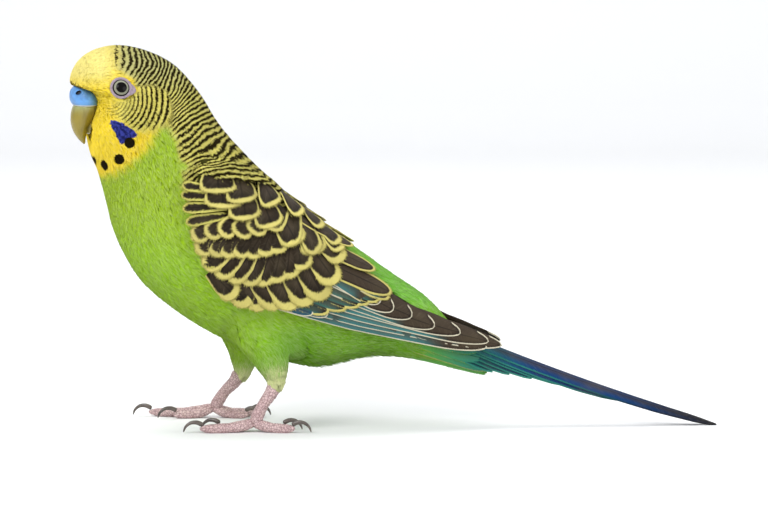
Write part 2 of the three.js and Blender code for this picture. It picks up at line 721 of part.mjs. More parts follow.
// Each pair's tip, its middle line's distance from the ridge at root and tip, and its half breadth
const TAIL_PAIRS = [
  { tip: 84.2, arcs: [1.6, 1.0], half: 2.0 },
  { tip: 58.0, arcs: [2.2, 4.2], half: 2.2 },
  { tip: 43.6, arcs: [2.8, 6.0], half: 2.2 },
  { tip: 35.8, arcs: [3.4, 7.4], half: 2.2 },
  { tip: 30.0, arcs: [4.0, 8.6], half: 2.2 },
  { tip: 25.6, arcs: [4.6, 9.6], half: 2.1 },
];
const TAIL_ROOT = 6;
const RIDGE_REACH = -0.2; // how far a vane may cross the ridge
const TAIL_OUTLINE = [
  [0, 0.8],
  [0.4, 1],
  [0.75, 1],
  [0.92, 0.7],
  [1, 0.15],
];

function onRoof(x, arc, side, lift) {
  const back = TAIL.tip - x;
  const ridge = TAIL.tipHeight + TAIL.slope * back + TAIL.bend * back * back;
  const down = Math.hypot(arc * ROOF.down, ROOF.round) - ROOF.round;
  const y = side * (arc * ROOF.across + lift * ROOF.down);
  return new THREE.Vector3(x, y, ridge - down + lift * ROOF.across);
}

function tailVane(pair, index, side) {
  const upper = [];
  const lower = [];
  for (const [share, broad] of TAIL_OUTLINE) {
    const x = THREE.MathUtils.lerp(TAIL_ROOT, pair.tip, share);
    const arc = THREE.MathUtils.lerp(pair.arcs[0], pair.arcs[1], share);
    const rows = [[], []];
    for (const edge of index === 0 ? FLIGHT.edges : COVERT.edges) {
      const place = Math.max(arc + edge * broad * pair.half, RIDGE_REACH);
      const lift = -TAIL.step * index;
      rows[0].push(onRoof(x, place, side, lift));
      rows[1].push(onRoof(x, place, side, lift - TAIL.thickness));
    }
    upper.push(rows[0]);
    lower.push(rows[1]);
  }
  return solidOf(plateGeometry(upper, lower));
}

function tailSolid() {
  let tail = null;
  TAIL_PAIRS.forEach((pair, index) => {
    for (const side of [-1, 1]) {
      const next = tailVane(pair, index, side);
      tail = tail ? tail.add(next) : next;
    }
  });
  return tail.subtract(FLOOR_BOX);
}

// Assembly
const bird = new THREE.Group();
const finish = (colour, roughness) =>
  new THREE.MeshStandardMaterial({ color: colour, roughness, metalness: 0 });
function add(name, solid, material) {
  const mesh = new THREE.Mesh(geometryOf(largest(solid)), material);
  mesh.name = name;
  bird.add(mesh);
}

const skinFinish = finish(COLOURS.body, 0.8);
const faceFinish = finish(COLOURS.face, 0.8);
const wingFinish = finish(COLOURS.barring, 0.7);
const tailFinish = finish(COLOURS.tail, 0.6);
const hornFinish = finish(COLOURS.horn, 0.35);
const cereFinish = finish(COLOURS.cere, 0.4);
const legFinish = finish(COLOURS.leg, 0.6);
const clawFinish = finish(COLOURS.claw, 0.35);
const eyeFinish = finish(COLOURS.eye, 0.05);

// The place on one side of the head where the eye's middle line leaves it
function eyePlace(side) {
  const turn = BODY_STATIONS[0].turn;
  let best = null;
  for (let i = EYE_SEARCH.first; i < EYE_SEARCH.rings; i++)
    for (let j = EYE_SEARCH.first; j < EYE_SEARCH.sides; j++) {
      const share = (BODY.at("ear") * i) / EYE_SEARCH.rings;
      const angle = side * (j / EYE_SEARCH.sides) * Math.PI;
      const place = turned(onMould(BODY, share, angle), -turn);
      const miss = Math.hypot(place.x - EYE.x, place.z - EYE.z);
      if (!best || miss < best.miss) best = { miss, share, angle };
    }
  const here = onMould(BODY, best.share, best.angle);
  const back = onMould(BODY, best.share + EYE_SEARCH.step, best.angle).sub(here);
  const round = onMould(BODY, best.share, best.angle + EYE_SEARCH.step).sub(here);
  const out = back.cross(round).normalize();
  if (out.y * -side < 0) out.negate();
  return { here, out };
}

const wholeBody = bodySolid(0, BODY_RINGS, BODY_SIDES);
const bodyRoom = bodySolid(GAP, BODY_RINGS, BODY_SIDES);

const parted = ["nape", "shoulder", "rump"]
  .reduce((solid, name) => solid.subtract(partingSlab(name)), wholeBody)
  .decompose()
  .filter((s) => s.volume() > 1)
  .sort((a, b) => b.boundingBox().max[2] - a.boundingBox().max[2]);
let [head, neck, torso, rump] = parted;

const eyes = { left: eyePlace(1), right: eyePlace(-1) };
for (const side of ["left", "right"]) {
  const { here, out } = eyes[side];
  const centre = here.clone().addScaledVector(out, -EYE.sunk);
  const lid = new THREE.TorusGeometry(EYE.lidRadius, EYE.lidTube, EYE.lidSides, EYE.lidSteps);
  lid.applyQuaternion(
    new THREE.Quaternion().setFromUnitVectors(new THREE.Vector3(0, 0, 1), out),
  );
  lid.translate(here.x, here.y, here.z);
  head = head.add(solidOf(lid)).subtract(ball(centre, EYE.radius + GAP, EYE.detail));
  add("eye_" + side, ball(centre, EYE.radius, EYE.detail), eyeFinish);
}
const bill = stack(BILL_SECTIONS);
const lowerBill = stack(LOWER_BILL_SECTIONS).subtract(stack(BILL_SECTIONS, ROOM));
let cere = stack(CERE_SECTIONS);
for (const side of [-1, 1])
  cere = cere.subtract(
    ball(
      turned(new THREE.Vector3(NOSTRIL.x, side * NOSTRIL.side, NOSTRIL.z), BODY_STATIONS[0].turn),
      NOSTRIL.radius,
      SMALL_BALL,
    ),
  );
for (const sections of [CERE_SECTIONS, BILL_SECTIONS, LOWER_BILL_SECTIONS])
  head = head.subtract(stack(sections, ROOM));
add("head", head, faceFinish);
add("cere", cere, cereFinish);
add("bill_upper", bill, hornFinish);
add("bill_lower", lowerBill, hornFinish);
add("neck", neck, skinFinish);
add("torso", torso, skinFinish);
const tail = tailSolid().subtract(bodyRoom);
add("rump", rump, skinFinish);
add("tail", tail, tailFinish);

const wing = wingSolid();
add("wing_left", wing.subtract(bodyRoom), wingFinish);
add("wing_right", mirrored(wing).subtract(bodyRoom), wingFinish);

for (const [side, leg] of Object.entries(LEGS)) {
  add("thigh_" + side, thigh(leg).subtract(bodyRoom).subtract(shank(leg, GAP)), skinFinish);
  add("shank_" + side, shank(leg), legFinish);
  const taken = [shank(leg, GAP)];
  for (const toe of TOES) {
    const body = taken.reduce((solid, other) => solid.subtract(other), toeSolid(side, toe));
    add("toe_" + toe.number + "_" + side, body.subtract(clawSolid(side, toe, ROOM)), legFinish);
    add("claw_" + toe.number + "_" + side, clawSolid(side, toe), clawFinish);
    taken.push(toeSolid(side, toe, GAP));
  }
}

export default bird;
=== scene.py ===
import math

import bmesh
import bpy
import numpy as np
from bpy.props import FloatProperty, FloatVectorProperty, IntProperty, PointerProperty
from mathutils import Matrix, Vector
from mathutils.bvhtree import BVHTree
from mathutils.kdtree import KDTree


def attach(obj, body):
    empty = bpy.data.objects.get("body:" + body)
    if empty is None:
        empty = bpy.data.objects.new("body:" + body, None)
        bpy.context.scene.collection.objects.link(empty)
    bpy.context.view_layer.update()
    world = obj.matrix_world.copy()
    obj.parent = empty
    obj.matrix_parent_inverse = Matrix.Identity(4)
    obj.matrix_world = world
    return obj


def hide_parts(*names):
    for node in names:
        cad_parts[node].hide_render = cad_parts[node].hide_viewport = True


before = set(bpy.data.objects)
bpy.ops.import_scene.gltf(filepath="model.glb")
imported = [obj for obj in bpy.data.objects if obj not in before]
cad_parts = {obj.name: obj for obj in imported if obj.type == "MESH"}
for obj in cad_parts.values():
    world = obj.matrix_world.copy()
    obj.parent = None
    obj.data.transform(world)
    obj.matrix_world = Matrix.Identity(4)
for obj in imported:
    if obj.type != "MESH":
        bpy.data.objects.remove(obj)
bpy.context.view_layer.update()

bl_info = {
    "name": "Budgerigar",
    "version": (1, 0, 0),
    "blender": (4, 5, 0),
    "location": "3D View > Sidebar > Budgerigar",
    "description": "Dresses the packed budgerigar with skin, feathers, horn, eyes and feet",
    "category": "Object",
}

# Sizes are in millimetres until a mesh is made. The bird faces -X and its left side is -Y.
MM = 0.001
TURN_PIVOT_X = -62.0
HEAD_TURN = 15.0
FULL_TURN = 2 * math.pi

# A mould's table of stations: how finely it is read, and how fullness is weighed against millimetres
SAMPLES = 2001
FULLNESS_WEIGHT = 20
HALVINGS = 22
SIDE_REACH = (-0.98, 0.995)
LAST_SHARE = 0.998

# Cross-sections of the body: upper point, lower point, half breadth, fullness below, head turn
BODY_STATIONS = {
    "face": ((-82.2, 87.2), (-81.3, 84.8), 1.0, 0.0, 15),
    "forehead": ((-84.0, 90.4), (-79.7, 81.2), 4.6, -0.1, 15),
    "brow": ((-82.7, 94.2), (-79.3, 77.2), 7.4, -0.08, 15),
    "lores": ((-80.0, 97.0), (-78.9, 73.6), 10.0, 0.05, 15),
    "eye": ((-75.8, 98.8), (-78.3, 70.2), 11.5, 0.08, 15),
    "crown": ((-70.9, 99.3), (-76.9, 66.8), 12.2, 0.08, 15),
    "ear": ((-64.2, 97.9), (-75.8, 62.8), 12.6, 0.06, 14),
    "nape": ((-57.0, 94.2), (-74.6, 57.8), 13.0, 0.04, 11),
    "neck": ((-50.8, 87.4), (-73.3, 52.2), 14.0, 0.04, 6),
    "shoulder": ((-45.1, 78.4), (-70.5, 45.4), 16.0, 0.04, 2),
    "mantle": ((-38.0, 70.3), (-65.8, 37.9), 18.0, 0.04, 0),
    "back": ((-29.4, 62.2), (-58.3, 31.2), 19.0, 0.04, 0),
    "saddle": ((-19.8, 54.3), (-48.5, 24.8), 18.6, 0.04, 0),
    "loin": ((-10.1, 46.8), (-36.0, 19.0), 17.0, 0.04, 0),
    "rump": ((-1.0, 40.3), (-21.5, 15.8), 13.6, 0.0, 0),
    "vent": ((8.6, 33.6), (-5.0, 18.4), 9.6, 0.0, 0),
    "coverts": ((17.0, 24.4), (12.0, 15.9), 6.2, 0.0, 0),
    "tail root": ((25.4, 16.6), (24.6, 13.4), 2.6, 0.0, 0),
}
WING_STATIONS = {
    "front": ((-52.0, 89.0), (-75.0, 53.5), 15.0, 0.0, 0),
    "shoulder": ((-45.3, 79.2), (-70.7, 45.5), 18.4, 0.0, 0),
    "mantle": ((-38.0, 71.2), (-65.6, 38.0), 20.8, 0.0, 0),
    "back": ((-29.4, 63.2), (-58.3, 31.2), 21.8, 0.0, 0),
    "saddle": ((-19.8, 55.4), (-48.5, 24.8), 21.4, 0.0, 0),
    "loin": ((-10.0, 47.8), (-36.0, 19.4), 19.6, 0.0, 0),
    "tertials": ((-0.5, 40.4), (-21.0, 14.5), 16.2, 0.0, 0),
    "primaries": ((9.6, 33.4), (-4.0, 11.0), 12.4, 0.0, 0),
    "tip base": ((19.6, 28.4), (11.0, 9.0), 9.2, 0.0, 0),
    "tips": ((29.0, 23.6), (25.0, 8.0), 7.6, 0.0, 0),
    "beyond": ((38.0, 19.4), (36.0, 6.0), 6.0, 0.0, 0),
}


# The bed of the bill: how far forward the face comes beside cere and bill, by height
BED_LINE = ((70.0, -90.0), (74.0, -82.5), (76.0, -80.8), (77.2, -80.2), (79.6, -79.2), (82.0, -78.3),
            (83.5, -78.0), (85.2, -78.0), (86.8, -78.6), (88.0, -79.8), (89.0, -84.0), (90.0, -92.0))
BED = {"curve": 0.05, "edge": 4.5, "soft": 0.7}


def smooth(value, low, high):
    share = np.clip((value - low) / (high - low), 0, 1)
    return share * share * (3 - 2 * share)


def unit(vectors, least=0.0):
    """Vectors at length 1, along the last axis."""
    return vectors / np.maximum(np.linalg.norm(vectors, axis=-1, keepdims=True), least)


def behind_bill(x, y, z, lift):
    """Keeps the face behind cere and bill: x moved back where it would lie in front of their bed."""
    beside = np.maximum(np.abs(y) - BED["edge"], 0)
    heights, fronts = np.array(BED_LINE).T
    over = x - (np.interp(z, heights, fronts) - lift + BED["curve"] * beside ** 2)
    return x + (np.hypot(over, BED["soft"]) - over) / 2


def curve(points, share):
    """A smooth line through points, read at shares of its way from the first to the last."""
    points = np.asarray(points, float)
    share = np.atleast_1d(np.asarray(share, float))
    last = len(points) - 1
    padded = np.vstack([2 * points[0] - points[1], points, 2 * points[-1] - points[-2]])
    place = last * share
    k = np.clip(np.floor(place).astype(int), 0, last - 1)
    w = (place - k)[:, None]
    p0, p1, p2, p3 = (padded[k + i] for i in range(4))
    span = lambda a, b: np.maximum(((a - b) ** 2).sum(1) ** 0.25, 1e-6)[:, None]
    d0, d1, d2 = span(p0, p1), span(p1, p2), span(p2, p3)
    t1 = ((p1 - p0) / d0 - (p2 - p0) / (d0 + d1) + (p2 - p1) / d1) * d1
    t2 = ((p2 - p1) / d1 - (p3 - p1) / (d1 + d2) + (p3 - p2) / d2) * d1
    cubic = 2 * p1 - 2 * p2 + t1 + t2
    square = 3 * p2 - 3 * p1 - 2 * t1 - t2
    return p1 + t1 * w + square * w ** 2 + cubic * w ** 3


def turned(points, degrees):
    """Points turned about the neck's upright axis."""
    angle = np.radians(degrees)
    x = points[..., 0] - TURN_PIVOT_X
    y = points[..., 1]
    out = points.copy()
    out[..., 0] = TURN_PIVOT_X + x * np.cos(angle) - y * np.sin(angle)
    out[..., 1] = x * np.sin(angle) + y * np.cos(angle)
    return out


class Mould:
    """A rounded form through stations: share runs from the first to the last, angle from the top
    round the left side."""

    def __init__(self, stations, bedded=False):
        self.bedded = bedded
        rows = list(stations.values())
        self.names = list(stations)
        self.shares = np.linspace(0, 1, SAMPLES)
        top = curve([(*r[0],) for r in rows], self.shares)
        foot = curve([(*r[1],) for r in rows], self.shares)
        breadth = curve([(r[2], r[3] * FULLNESS_WEIGHT, r[4]) for r in rows], self.shares)
        self.table = np.hstack([top, foot, breadth])

    def share_of(self, name):
        return self.names.index(name) / (len(self.names) - 1)

    def read(self, share):
        return [np.interp(share, self.shares, column) for column in self.table.T]

    def at(self, share, angle, lift=0.0, with_turn=True):
        tx, tz, fx, fz, half, low, turn = self.read(share)
        ux, uz = tx - fx, tz - fz
        length = np.hypot(ux, uz)
        reach = (length / 2 + lift) * np.cos(angle)
        x = (tx + fx) / 2 + ux / length * reach
        z = (tz + fz) / 2 + uz / length * reach
        y = -(half + lift) * np.sin(angle) * (1 - low / FULLNESS_WEIGHT * np.cos(angle))
        if self.bedded:
            x = behind_bill(x, y, z, lift)
        points = np.stack(np.broadcast_arrays(x, y, z), -1)
        return turned(points, turn) if with_turn else points

    def side(self, x, z):
        """The share and angle at which the left side shows the place x, z from the side."""
        x, z = np.broadcast_arrays(np.asarray(x, float), np.asarray(z, float))
        low, high = np.zeros(x.shape), np.ones(x.shape)
        for _ in range(HALVINGS):
            middle = (low + high) / 2
            tx, tz, fx, fz = self.read(middle)[:4]
            beyond = (x - fx) * (tz - fz) - (z - fz) * (tx - fx) > 0
            low, high = np.where(beyond, middle, low), np.where(beyond, high, middle)
        tx, tz, fx, fz = self.read(low)[:4]
        ux, uz = tx - fx, tz - fz
        reach = ((x - (tx + fx) / 2) * ux + (z - (tz + fz) / 2) * uz) / ((ux ** 2 + uz ** 2) / 2)
        return low, np.arccos(np.clip(reach, *SIDE_REACH))

    def slopes(self, share, angle):
        """Steps of the surface for a unit of share and of angle, and its outward direction."""
        small = 0.001
        behind = np.clip(share - small, 0, 1)
        ahead = np.clip(share + small, 0, 1)
        back = (self.at(ahead, angle) - self.at(behind, angle)) / (ahead - behind)[..., None]
        round_ = (self.at(share, angle + small) - self.at(share, angle - small)) / (2 * small)
        return back, round_, unit(np.cross(round_, back), 1e-9)

    @staticmethod
    def step_with(share, angle, back, round_, step):
        """The share and angle that a small step along the surface reaches, from its two slopes."""
        dot = lambda a, b: (a * b).sum(-1)
        mixed = dot(back, round_)
        area = np.maximum(dot(back, back) * dot(round_, round_) - mixed ** 2, 1e-9)
        ahead = (dot(back, step) * dot(round_, round_) - dot(round_, step) * mixed) / area
        round_by = (dot(round_, step) * dot(back, back) - dot(back, step) * mixed) / area
        return np.clip(share + ahead, 0, LAST_SHARE), angle + round_by


BODY = Mould(BODY_STATIONS, bedded=True)
WING = Mould(WING_STATIONS)

# The side drawing: places on the bird's middle plane as the camera sees them
CAMERA_AIM = (-2.6, 0.0, 44.3)
CAMERA_REACH = 1000.0
CAMERA_RISE = math.radians(6)


def drawn(points):
    """Where the camera sees points, as x and z on the middle plane."""
    y = -np.abs(points[..., 1])
    cos, sin = math.cos(CAMERA_RISE), math.sin(CAMERA_RISE)
    height = points[..., 2] - CAMERA_AIM[2]
    depth = CAMERA_REACH + y * cos - height * sin
    across = (points[..., 0] - CAMERA_AIM[0]) * CAMERA_REACH / depth
    up = (height * cos + y * sin) * CAMERA_REACH / depth
    return CAMERA_AIM[0] + across, CAMERA_AIM[2] + up / cos


# Markings, as lines on the side drawing
BARS = {
    0.0: ((-70.5, 97.2), (-70.2, 95.6), (-70.7, 93.6), (-71.6, 91.7)),
    2.4: ((-66.7, 97.9), (-66.1, 95.8), (-66.5, 93.9), (-68.1, 91.4)),
    4.9: ((-63.8, 97.1), (-62.7, 95.3), (-63.7, 93.1), (-65.6, 90.4)),
    7.6: ((-60.5, 96.0), (-59.9, 94.4), (-60.9, 91.8), (-62.6, 89.6)),
    10.2: ((-57.6, 93.9), (-58.1, 92.5), (-58.8, 90.7), (-59.3, 88.7)),
    12.6: ((-55.3, 91.7), (-55.6, 90.4), (-56.3, 88.8), (-57.1, 86.5)),
    15.0: ((-52.9, 90.1), (-53.8, 88.2), (-55.0, 86.5)),
    19.0: ((-51.2, 84.7), (-53.3, 83.4), (-55.7, 81.3)),
    21.6: ((-49.0, 82.2), (-50.9, 81.3), (-52.9, 80.1), (-55.2, 78.3), (-57.5, 76.3)),
    24.2: ((-46.7, 79.3), (-49.1, 78.5), (-51.7, 76.1), (-53.5, 74.5), (-55.9, 73.0)),
    26.6: ((-44.9, 76.0), (-47.4, 74.6), (-49.1, 73.3), (-51.1, 72.0), (-53.6, 70.2), (-55.4, 69.2)),
    28.8: ((-42.5, 73.3), (-42.8, 71.7), (-44.8, 69.7), (-46.8, 69.2)),
    31.0: ((-37.2, 68.5), (-40.0, 68.2), (-42.8, 68.5), (-45.8, 67.8), (-48.1, 67.8)),
    32.1: ((-35.2, 66.7), (-38.4, 66.4), (-42.8, 67.0), (-46.1, 66.5), (-48.0, 66.5)),
    41.0: ((-20.0, 55.0), (-26.0, 54.0), (-32.0, 53.0)),
}
CHEEK = {"x": -73.6, "z": 85.4, "rise": 0.8, "finest": 0.6, "growth": 0.065}
BARRED = (
    (-76.2, 82.8), (-75.0, 81.2), (-73.6, 80.3), (-71.8, 79.7), (-69.7, 78.7), (-66.6, 76.3), (-62.7, 77.1),
    (-59.1, 78.2), (-57.5, 76.1), (-56.0, 73.0), (-56.3, 70.6), (-55.5, 69.1), (-52.9, 68.0),
    (-54.7, 66.2), (-55.0, 62.6), (-53.0, 57.4), (-49.1, 45.9), (-40.0, 40.0), (-14.0, 44.0),
    (-12.0, 60.0), (-20.0, 75.0), (-40.0, 95.0), (-60.0, 105.0),
    (-75.5, 105.0), (-75.0, 97.5), (-73.6, 94.2), (-71.0, 92.2), (-67.4, 90.6), (-66.8, 88.0),
    (-69.0, 86.0), (-73.0, 85.6), (-76.4, 84.6),
)
SEAM = ((-67.1, 88.8), (-62.9, 89.0), (-60.6, 88.5), (-59.0, 87.4), (-58.2, 86.0), (-57.7, 83.0),
        (-57.5, 81.4), (-58.0, 79.5), (-59.0, 78.2), (-60.5, 76.0), (-75.0, 70.0), (-78.0, 88.0))
BIB = ((-95.0, 64.6), (-76.5, 65.2), (-72.6, 66.0), (-69.2, 68.0), (-66.4, 70.6), (-64.1, 73.1),
       (-62.7, 75.6), (-61.5, 78.0), (-60.0, 88.0), (-60.0, 110.0), (-95.0, 110.0))
CHEEK_PATCH = ((-73.6, 79.5), (-72.5, 79.9), (-71.2, 79.4), (-69.4, 78.4), (-68.2, 77.6),
               (-66.6, 76.1), (-66.9, 75.3), (-67.9, 75.3), (-69.2, 74.3), (-70.5, 73.6),
               (-71.3, 73.4), (-71.8, 74.8), (-72.8, 76.6), (-73.6, 78.2))
THROAT_SPOTS = (
    ("rear", -68.7, 73.8, 1.45, 1.45, 0.0),
    ("middle", -71.4, 69.5, 1.4, 1.4, 0.0),
    ("front", -75.3, 67.9, 0.85, 1.45, 0.4),
    ("far", -77.9, 69.0, 0.5, 1.3, 0.2),
)
WING_OUTLINE = (
    (-53.7, 64.1), (-53.5, 56.6), (-50.7, 49.3), (-48.6, 44.6), (-45.8, 41.2), (-41.9, 37.8),
    (-36.2, 34.1), (-32.3, 32.5), (-25.8, 31.2), (-19.3, 28.9), (-9.4, 26.6), (1.6, 22.8),
    (13.6, 21.0), (22.4, 20.2), (27.6, 21.0), (25.5, 23.9), (19.8, 27.5), (13.3, 30.7),
    (5.5, 33.8), (-2.3, 40.1), (-11.4, 47.7), (-24.4, 57.9), (-36.8, 67.8), (-44.6, 69.3),
)


def depth_inside(x, z, outline):
    """How far places lie inside a closed outline, in millimetres, and below 0 outside it."""
    corners = np.array(outline)
    following = np.roll(corners, -1, axis=0)
    nearest = np.full(x.shape, 1e9)
    inside = np.zeros(x.shape, bool)
    for (ax, az), (bx, bz) in zip(corners, following):
        ex, ez = bx - ax, bz - az
        share = np.clip(((x - ax) * ex + (z - az) * ez) / (ex * ex + ez * ez), 0, 1)
        nearest = np.minimum(nearest, np.hypot(x - ax - share * ex, z - az - share * ez))
        crosses = (az > z) != (bz > z)
        inside ^= crosses & (x < (bx - ax) * (z - az) / (bz - az + 1e-12) + ax)
    return np.where(inside, nearest, -nearest)


def bending_field(lines, looseness=0.5):
    """A smooth field that nearly takes each line's number along it."""
    sites = np.array([p for line in lines.values() for p in line])
    values = np.array([n for n, line in lines.items() for _ in line], float)
    kernel = lambda d2: 0.5 * d2 * np.log(d2 + 1e-9)
    gaps = ((sites[:, None] - sites[None]) ** 2).sum(-1)
    count = len(sites)
    flat = np.hstack([np.ones((count, 1)), sites])
    system = np.zeros((count + 3, count + 3))
    system[:count, :count] = kernel(gaps) + looseness * np.eye(count)
    system[:count, count:] = flat
    system[count:, :count] = flat.T
    weights = np.linalg.solve(system, np.concatenate([values, np.zeros(3)]))

    def field(x, z):
        total = weights[count] + weights[count + 1] * x + weights[count + 2] * z
        for (sx, sz), weight in zip(sites, weights):
            total = total + weight * kernel((x - sx) ** 2 + (z - sz) ** 2)
        return total

    return field


bar_field = bending_field(BARS)


def mixed(first, second, share):
    """A share of the way from first to second, for each place."""
    return first + (second - first) * np.asarray(share)[..., None]


def linear(colour):
    """A colour given as 0 to 255 for the screen, in linear light."""
    value = np.array(colour, float) / 255
    return np.where(value <= 0.04045, value / 12.92, ((value + 0.055) / 1.055) ** 2.4)


# Settings

def colour_setting(name, description, value):
    return FloatVectorProperty(name=name, description=description, subtype="COLOR", size=3,
                               min=0, max=1, default=[float(v) for v in linear(value)])


class PlumageSettings(bpy.types.PropertyGroup):
    face: colour_setting("Face", "Yellow of the mask round the bill", (233, 202, 26))
    forehead: colour_setting("Forehead", "Paler yellow above the cere", (226, 210, 116))
    cheek: colour_setting("Cheek", "Ground between the bars of the cheek", (206, 193, 84))
    nape: colour_setting("Nape", "Ground between the bars of crown, neck and mantle", (198, 188, 88))
    breast: colour_setting("Breast", "Yellow-green of the breast", (144, 176, 18))
    belly: colour_setting("Belly", "Deeper green of the belly", (136, 182, 6))
    flank: colour_setting("Flank", "Darker green of the lower flanks", (98, 154, 8))
    rump: colour_setting("Rump", "Green of the rump and upper tail coverts", (100, 170, 42))
    bar: colour_setting("Bars", "Dark brown of the bars and throat spots", (34, 27, 6))
    patch: colour_setting("Cheek patch", "Violet of the patch on each cheek", (44, 50, 120))
    shin: colour_setting("Lower thigh", "Pale feathers at the lower end of the thighs", (196, 200, 140))
    depth: FloatProperty(name="Coat depth", description="Depth of the body's coat over the skin",
                         default=1.2 * MM, min=0.0002, max=0.003, unit="LENGTH")
    seed: IntProperty(name="Seed", description="Start of the random draws", default=7, min=0)


class WingSettings(bpy.types.PropertyGroup):
    centre: colour_setting("Centre", "Dark middle of the wing coverts", (30, 22, 11))
    fringe: colour_setting("Fringe", "Yellow edge of the wing coverts", (192, 181, 102))
    brown: colour_setting("Flight feather", "Brown of the flight feathers", (34, 25, 18))
    pale: colour_setting("Pale edge", "Cream edge of the flight feathers", (204, 197, 172))
    web: colour_setting("Outer web", "Blue-green outer web of the flight feathers", (50, 104, 104))
    thickness: FloatProperty(name="Vane thickness", description="Thickness of a wing vane",
                             default=0.32 * MM, min=0.0001, max=0.002, unit="LENGTH")


class TailSettings(bpy.types.PropertyGroup):
    blue: colour_setting("Blue", "Dark blue of the tail", (0, 42, 84))
    tip: colour_setting("Tip", "Blackish end of the longest pair", (0, 8, 28))
    teal: colour_setting("Root", "Blue-green of the tail's root", (44, 124, 104))
    covert: colour_setting("Coverts", "Green of the feathers over the tail's root", (84, 156, 62))


class HornSettings(bpy.types.PropertyGroup):
    bill: colour_setting("Bill", "Olive horn of the bill", (134, 118, 34))
    bill_root: colour_setting("Bill root", "Grey-green top of the bill", (146, 148, 96))
    cere: colour_setting("Cere", "Blue skin round the nostrils", (88, 144, 204))
    leg: colour_setting("Leg", "Pinkish grey skin of the feet", (206, 178, 176))
    scale_line: colour_setting("Scale lines", "Darker lines between the scales of the feet", (146, 118, 118))
    rim: colour_setting("Cere rim", "Pale line between cere and bill", (206, 208, 204))
    claw: colour_setting("Claw", "Grey-brown horn of the claws", (92, 82, 76))
    iris: colour_setting("Iris", "Grey ring round the pupil", (140, 140, 120))
    eye_ring: colour_setting("Eye ring", "Bare lilac-grey skin round the eye", (144, 127, 138))


class StageSettings(bpy.types.PropertyGroup):
    floor: colour_setting("Floor", "Colour of the floor and backdrop", (232, 232, 231))


def settings(name):
    return getattr(bpy.context.scene, "budgerigar_" + name)


def tint(group, name):
    return np.array(getattr(settings(group), name))


# Meshes

def mesh_of(name, points, faces, material):
    """A mesh of one object at the origin, from places in millimetres and faces of one size."""
    mesh = bpy.data.meshes.new(name)
    points = np.asarray(points, np.float32).reshape(-1, 3) * MM
    faces = np.asarray(faces, np.int32)
    mesh.vertices.add(len(points))
    mesh.vertices.foreach_set("co", points.ravel())
    mesh.loops.add(faces.size)
    mesh.loops.foreach_set("vertex_index", faces.ravel())
    mesh.polygons.add(len(faces))
    mesh.polygons.foreach_set("loop_start", np.arange(0, faces.size, faces.shape[1], dtype=np.int32))
    mesh.update(calc_edges=True)
    return finished(name, mesh, material)


def finished(name, mesh, material):
    mesh.shade_smooth()
    mesh.materials.append(material)
    piece = bpy.data.objects.new(name, mesh)
    bpy.context.scene.collection.objects.link(piece)
    return piece


def give(piece, name, values):
    """Puts a colour, vector or number on every point of a piece."""
    values = np.asarray(values, np.float32)
    width = values.shape[1] if values.ndim > 1 else 1
    if width == 1:
        piece.data.attributes.new(name, "FLOAT", "POINT").data.foreach_set("value", values.ravel())
        return
    if name.endswith("colour"):
        values = np.hstack([values, np.ones((len(values), 1), np.float32)])
        layer = piece.data.attributes.new(name, "FLOAT_COLOR", "POINT")
        layer.data.foreach_set("color", values.ravel())
        return
    piece.data.attributes.new(name, "FLOAT_VECTOR", "POINT").data.foreach_set("vector", values.ravel())


def taken(rows, name, width, kind=np.float32):
    """One value of every row of a mesh, such as its points' places."""
    values = np.zeros(len(rows) * width, kind)
    rows.foreach_get(name, values)
    return values.reshape(-1, width)


def unwrap(piece, places):
    """Sets the bake map from a place for each point."""
    loops = taken(piece.data.loops, "vertex_index", 1, np.int32)[:, 0]
    layer = piece.data.uv_layers.new(name="OFBake")
    layer.data.foreach_set("uv", np.asarray(places, np.float32)[loops].ravel())


def chart_places(share, angle):
    """Places on the body's unwrap, from the share along it and the angle round it."""
    return np.stack([share, angle / FULL_TURN + 0.5], -1)


def settle(piece, slot, *nodes):
    """Fixes a piece to the bird, in place of the nodes named."""
    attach(piece, "root")
    if nodes:
        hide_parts(*nodes)
    return piece


def outward_mesh(name, shape):
    """A mesh from a closed shape, with every face turned outward."""
    bmesh.ops.recalc_face_normals(shape, faces=shape.faces)
    if shape.calc_volume(signed=True) < 0:
        bmesh.ops.reverse_faces(shape, faces=shape.faces)
    mesh = bpy.data.meshes.new(name)
    shape.to_mesh(mesh)
    shape.free()
    return mesh


def wrapped(name, place, around, along, material):
    """A closed round form: place(along, around) gives its points, with 0 and 1 at its two ends."""
    shape = bmesh.new()
    bmesh.ops.create_uvsphere(shape, u_segments=around, v_segments=along, radius=1)
    raw = np.array([v.co for v in shape.verts])
    share = np.arccos(np.clip(raw[:, 2], -1, 1)) / math.pi
    angle = np.arctan2(raw[:, 1], raw[:, 0])
    points = place(share, angle)
    for vertex, point in zip(shape.verts, points * MM):
        vertex.co = point
    return finished(name, outward_mesh(name, shape), material), share, angle


def joined(name, pieces):
    """One object from several, the first one's name and material kept."""
    first = pieces[0]
    with bpy.context.temp_override(active_object=first, object=first, selected_objects=pieces,
                                   selected_editable_objects=pieces):
        bpy.ops.object.join()
    first.name = name
    first.data.name = name
    return first


# Node materials

def new_material(name):
    material = bpy.data.materials.new(name)
    material.use_nodes = True
    tree = material.node_tree
    return material, tree, tree.nodes["Principled BSDF"]


def surfaced(tree, shader, colour, roughness=None, specular=None, bump=None):
    """Joins a shader's colour and bump, given as height, strength and depth, and sets its gloss."""
    tree.links.new(colour, shader.inputs["Base Color"])
    if bump:
        values = dict(zip(("Height", "Strength", "Distance"), bump))
        tree.links.new(node(tree, "Bump", values).outputs["Normal"], shader.inputs["Normal"])
    if roughness is not None:
        shader.inputs["Roughness"].default_value = roughness
    if specular is not None:
        shader.inputs["Specular IOR Level"].default_value = specular


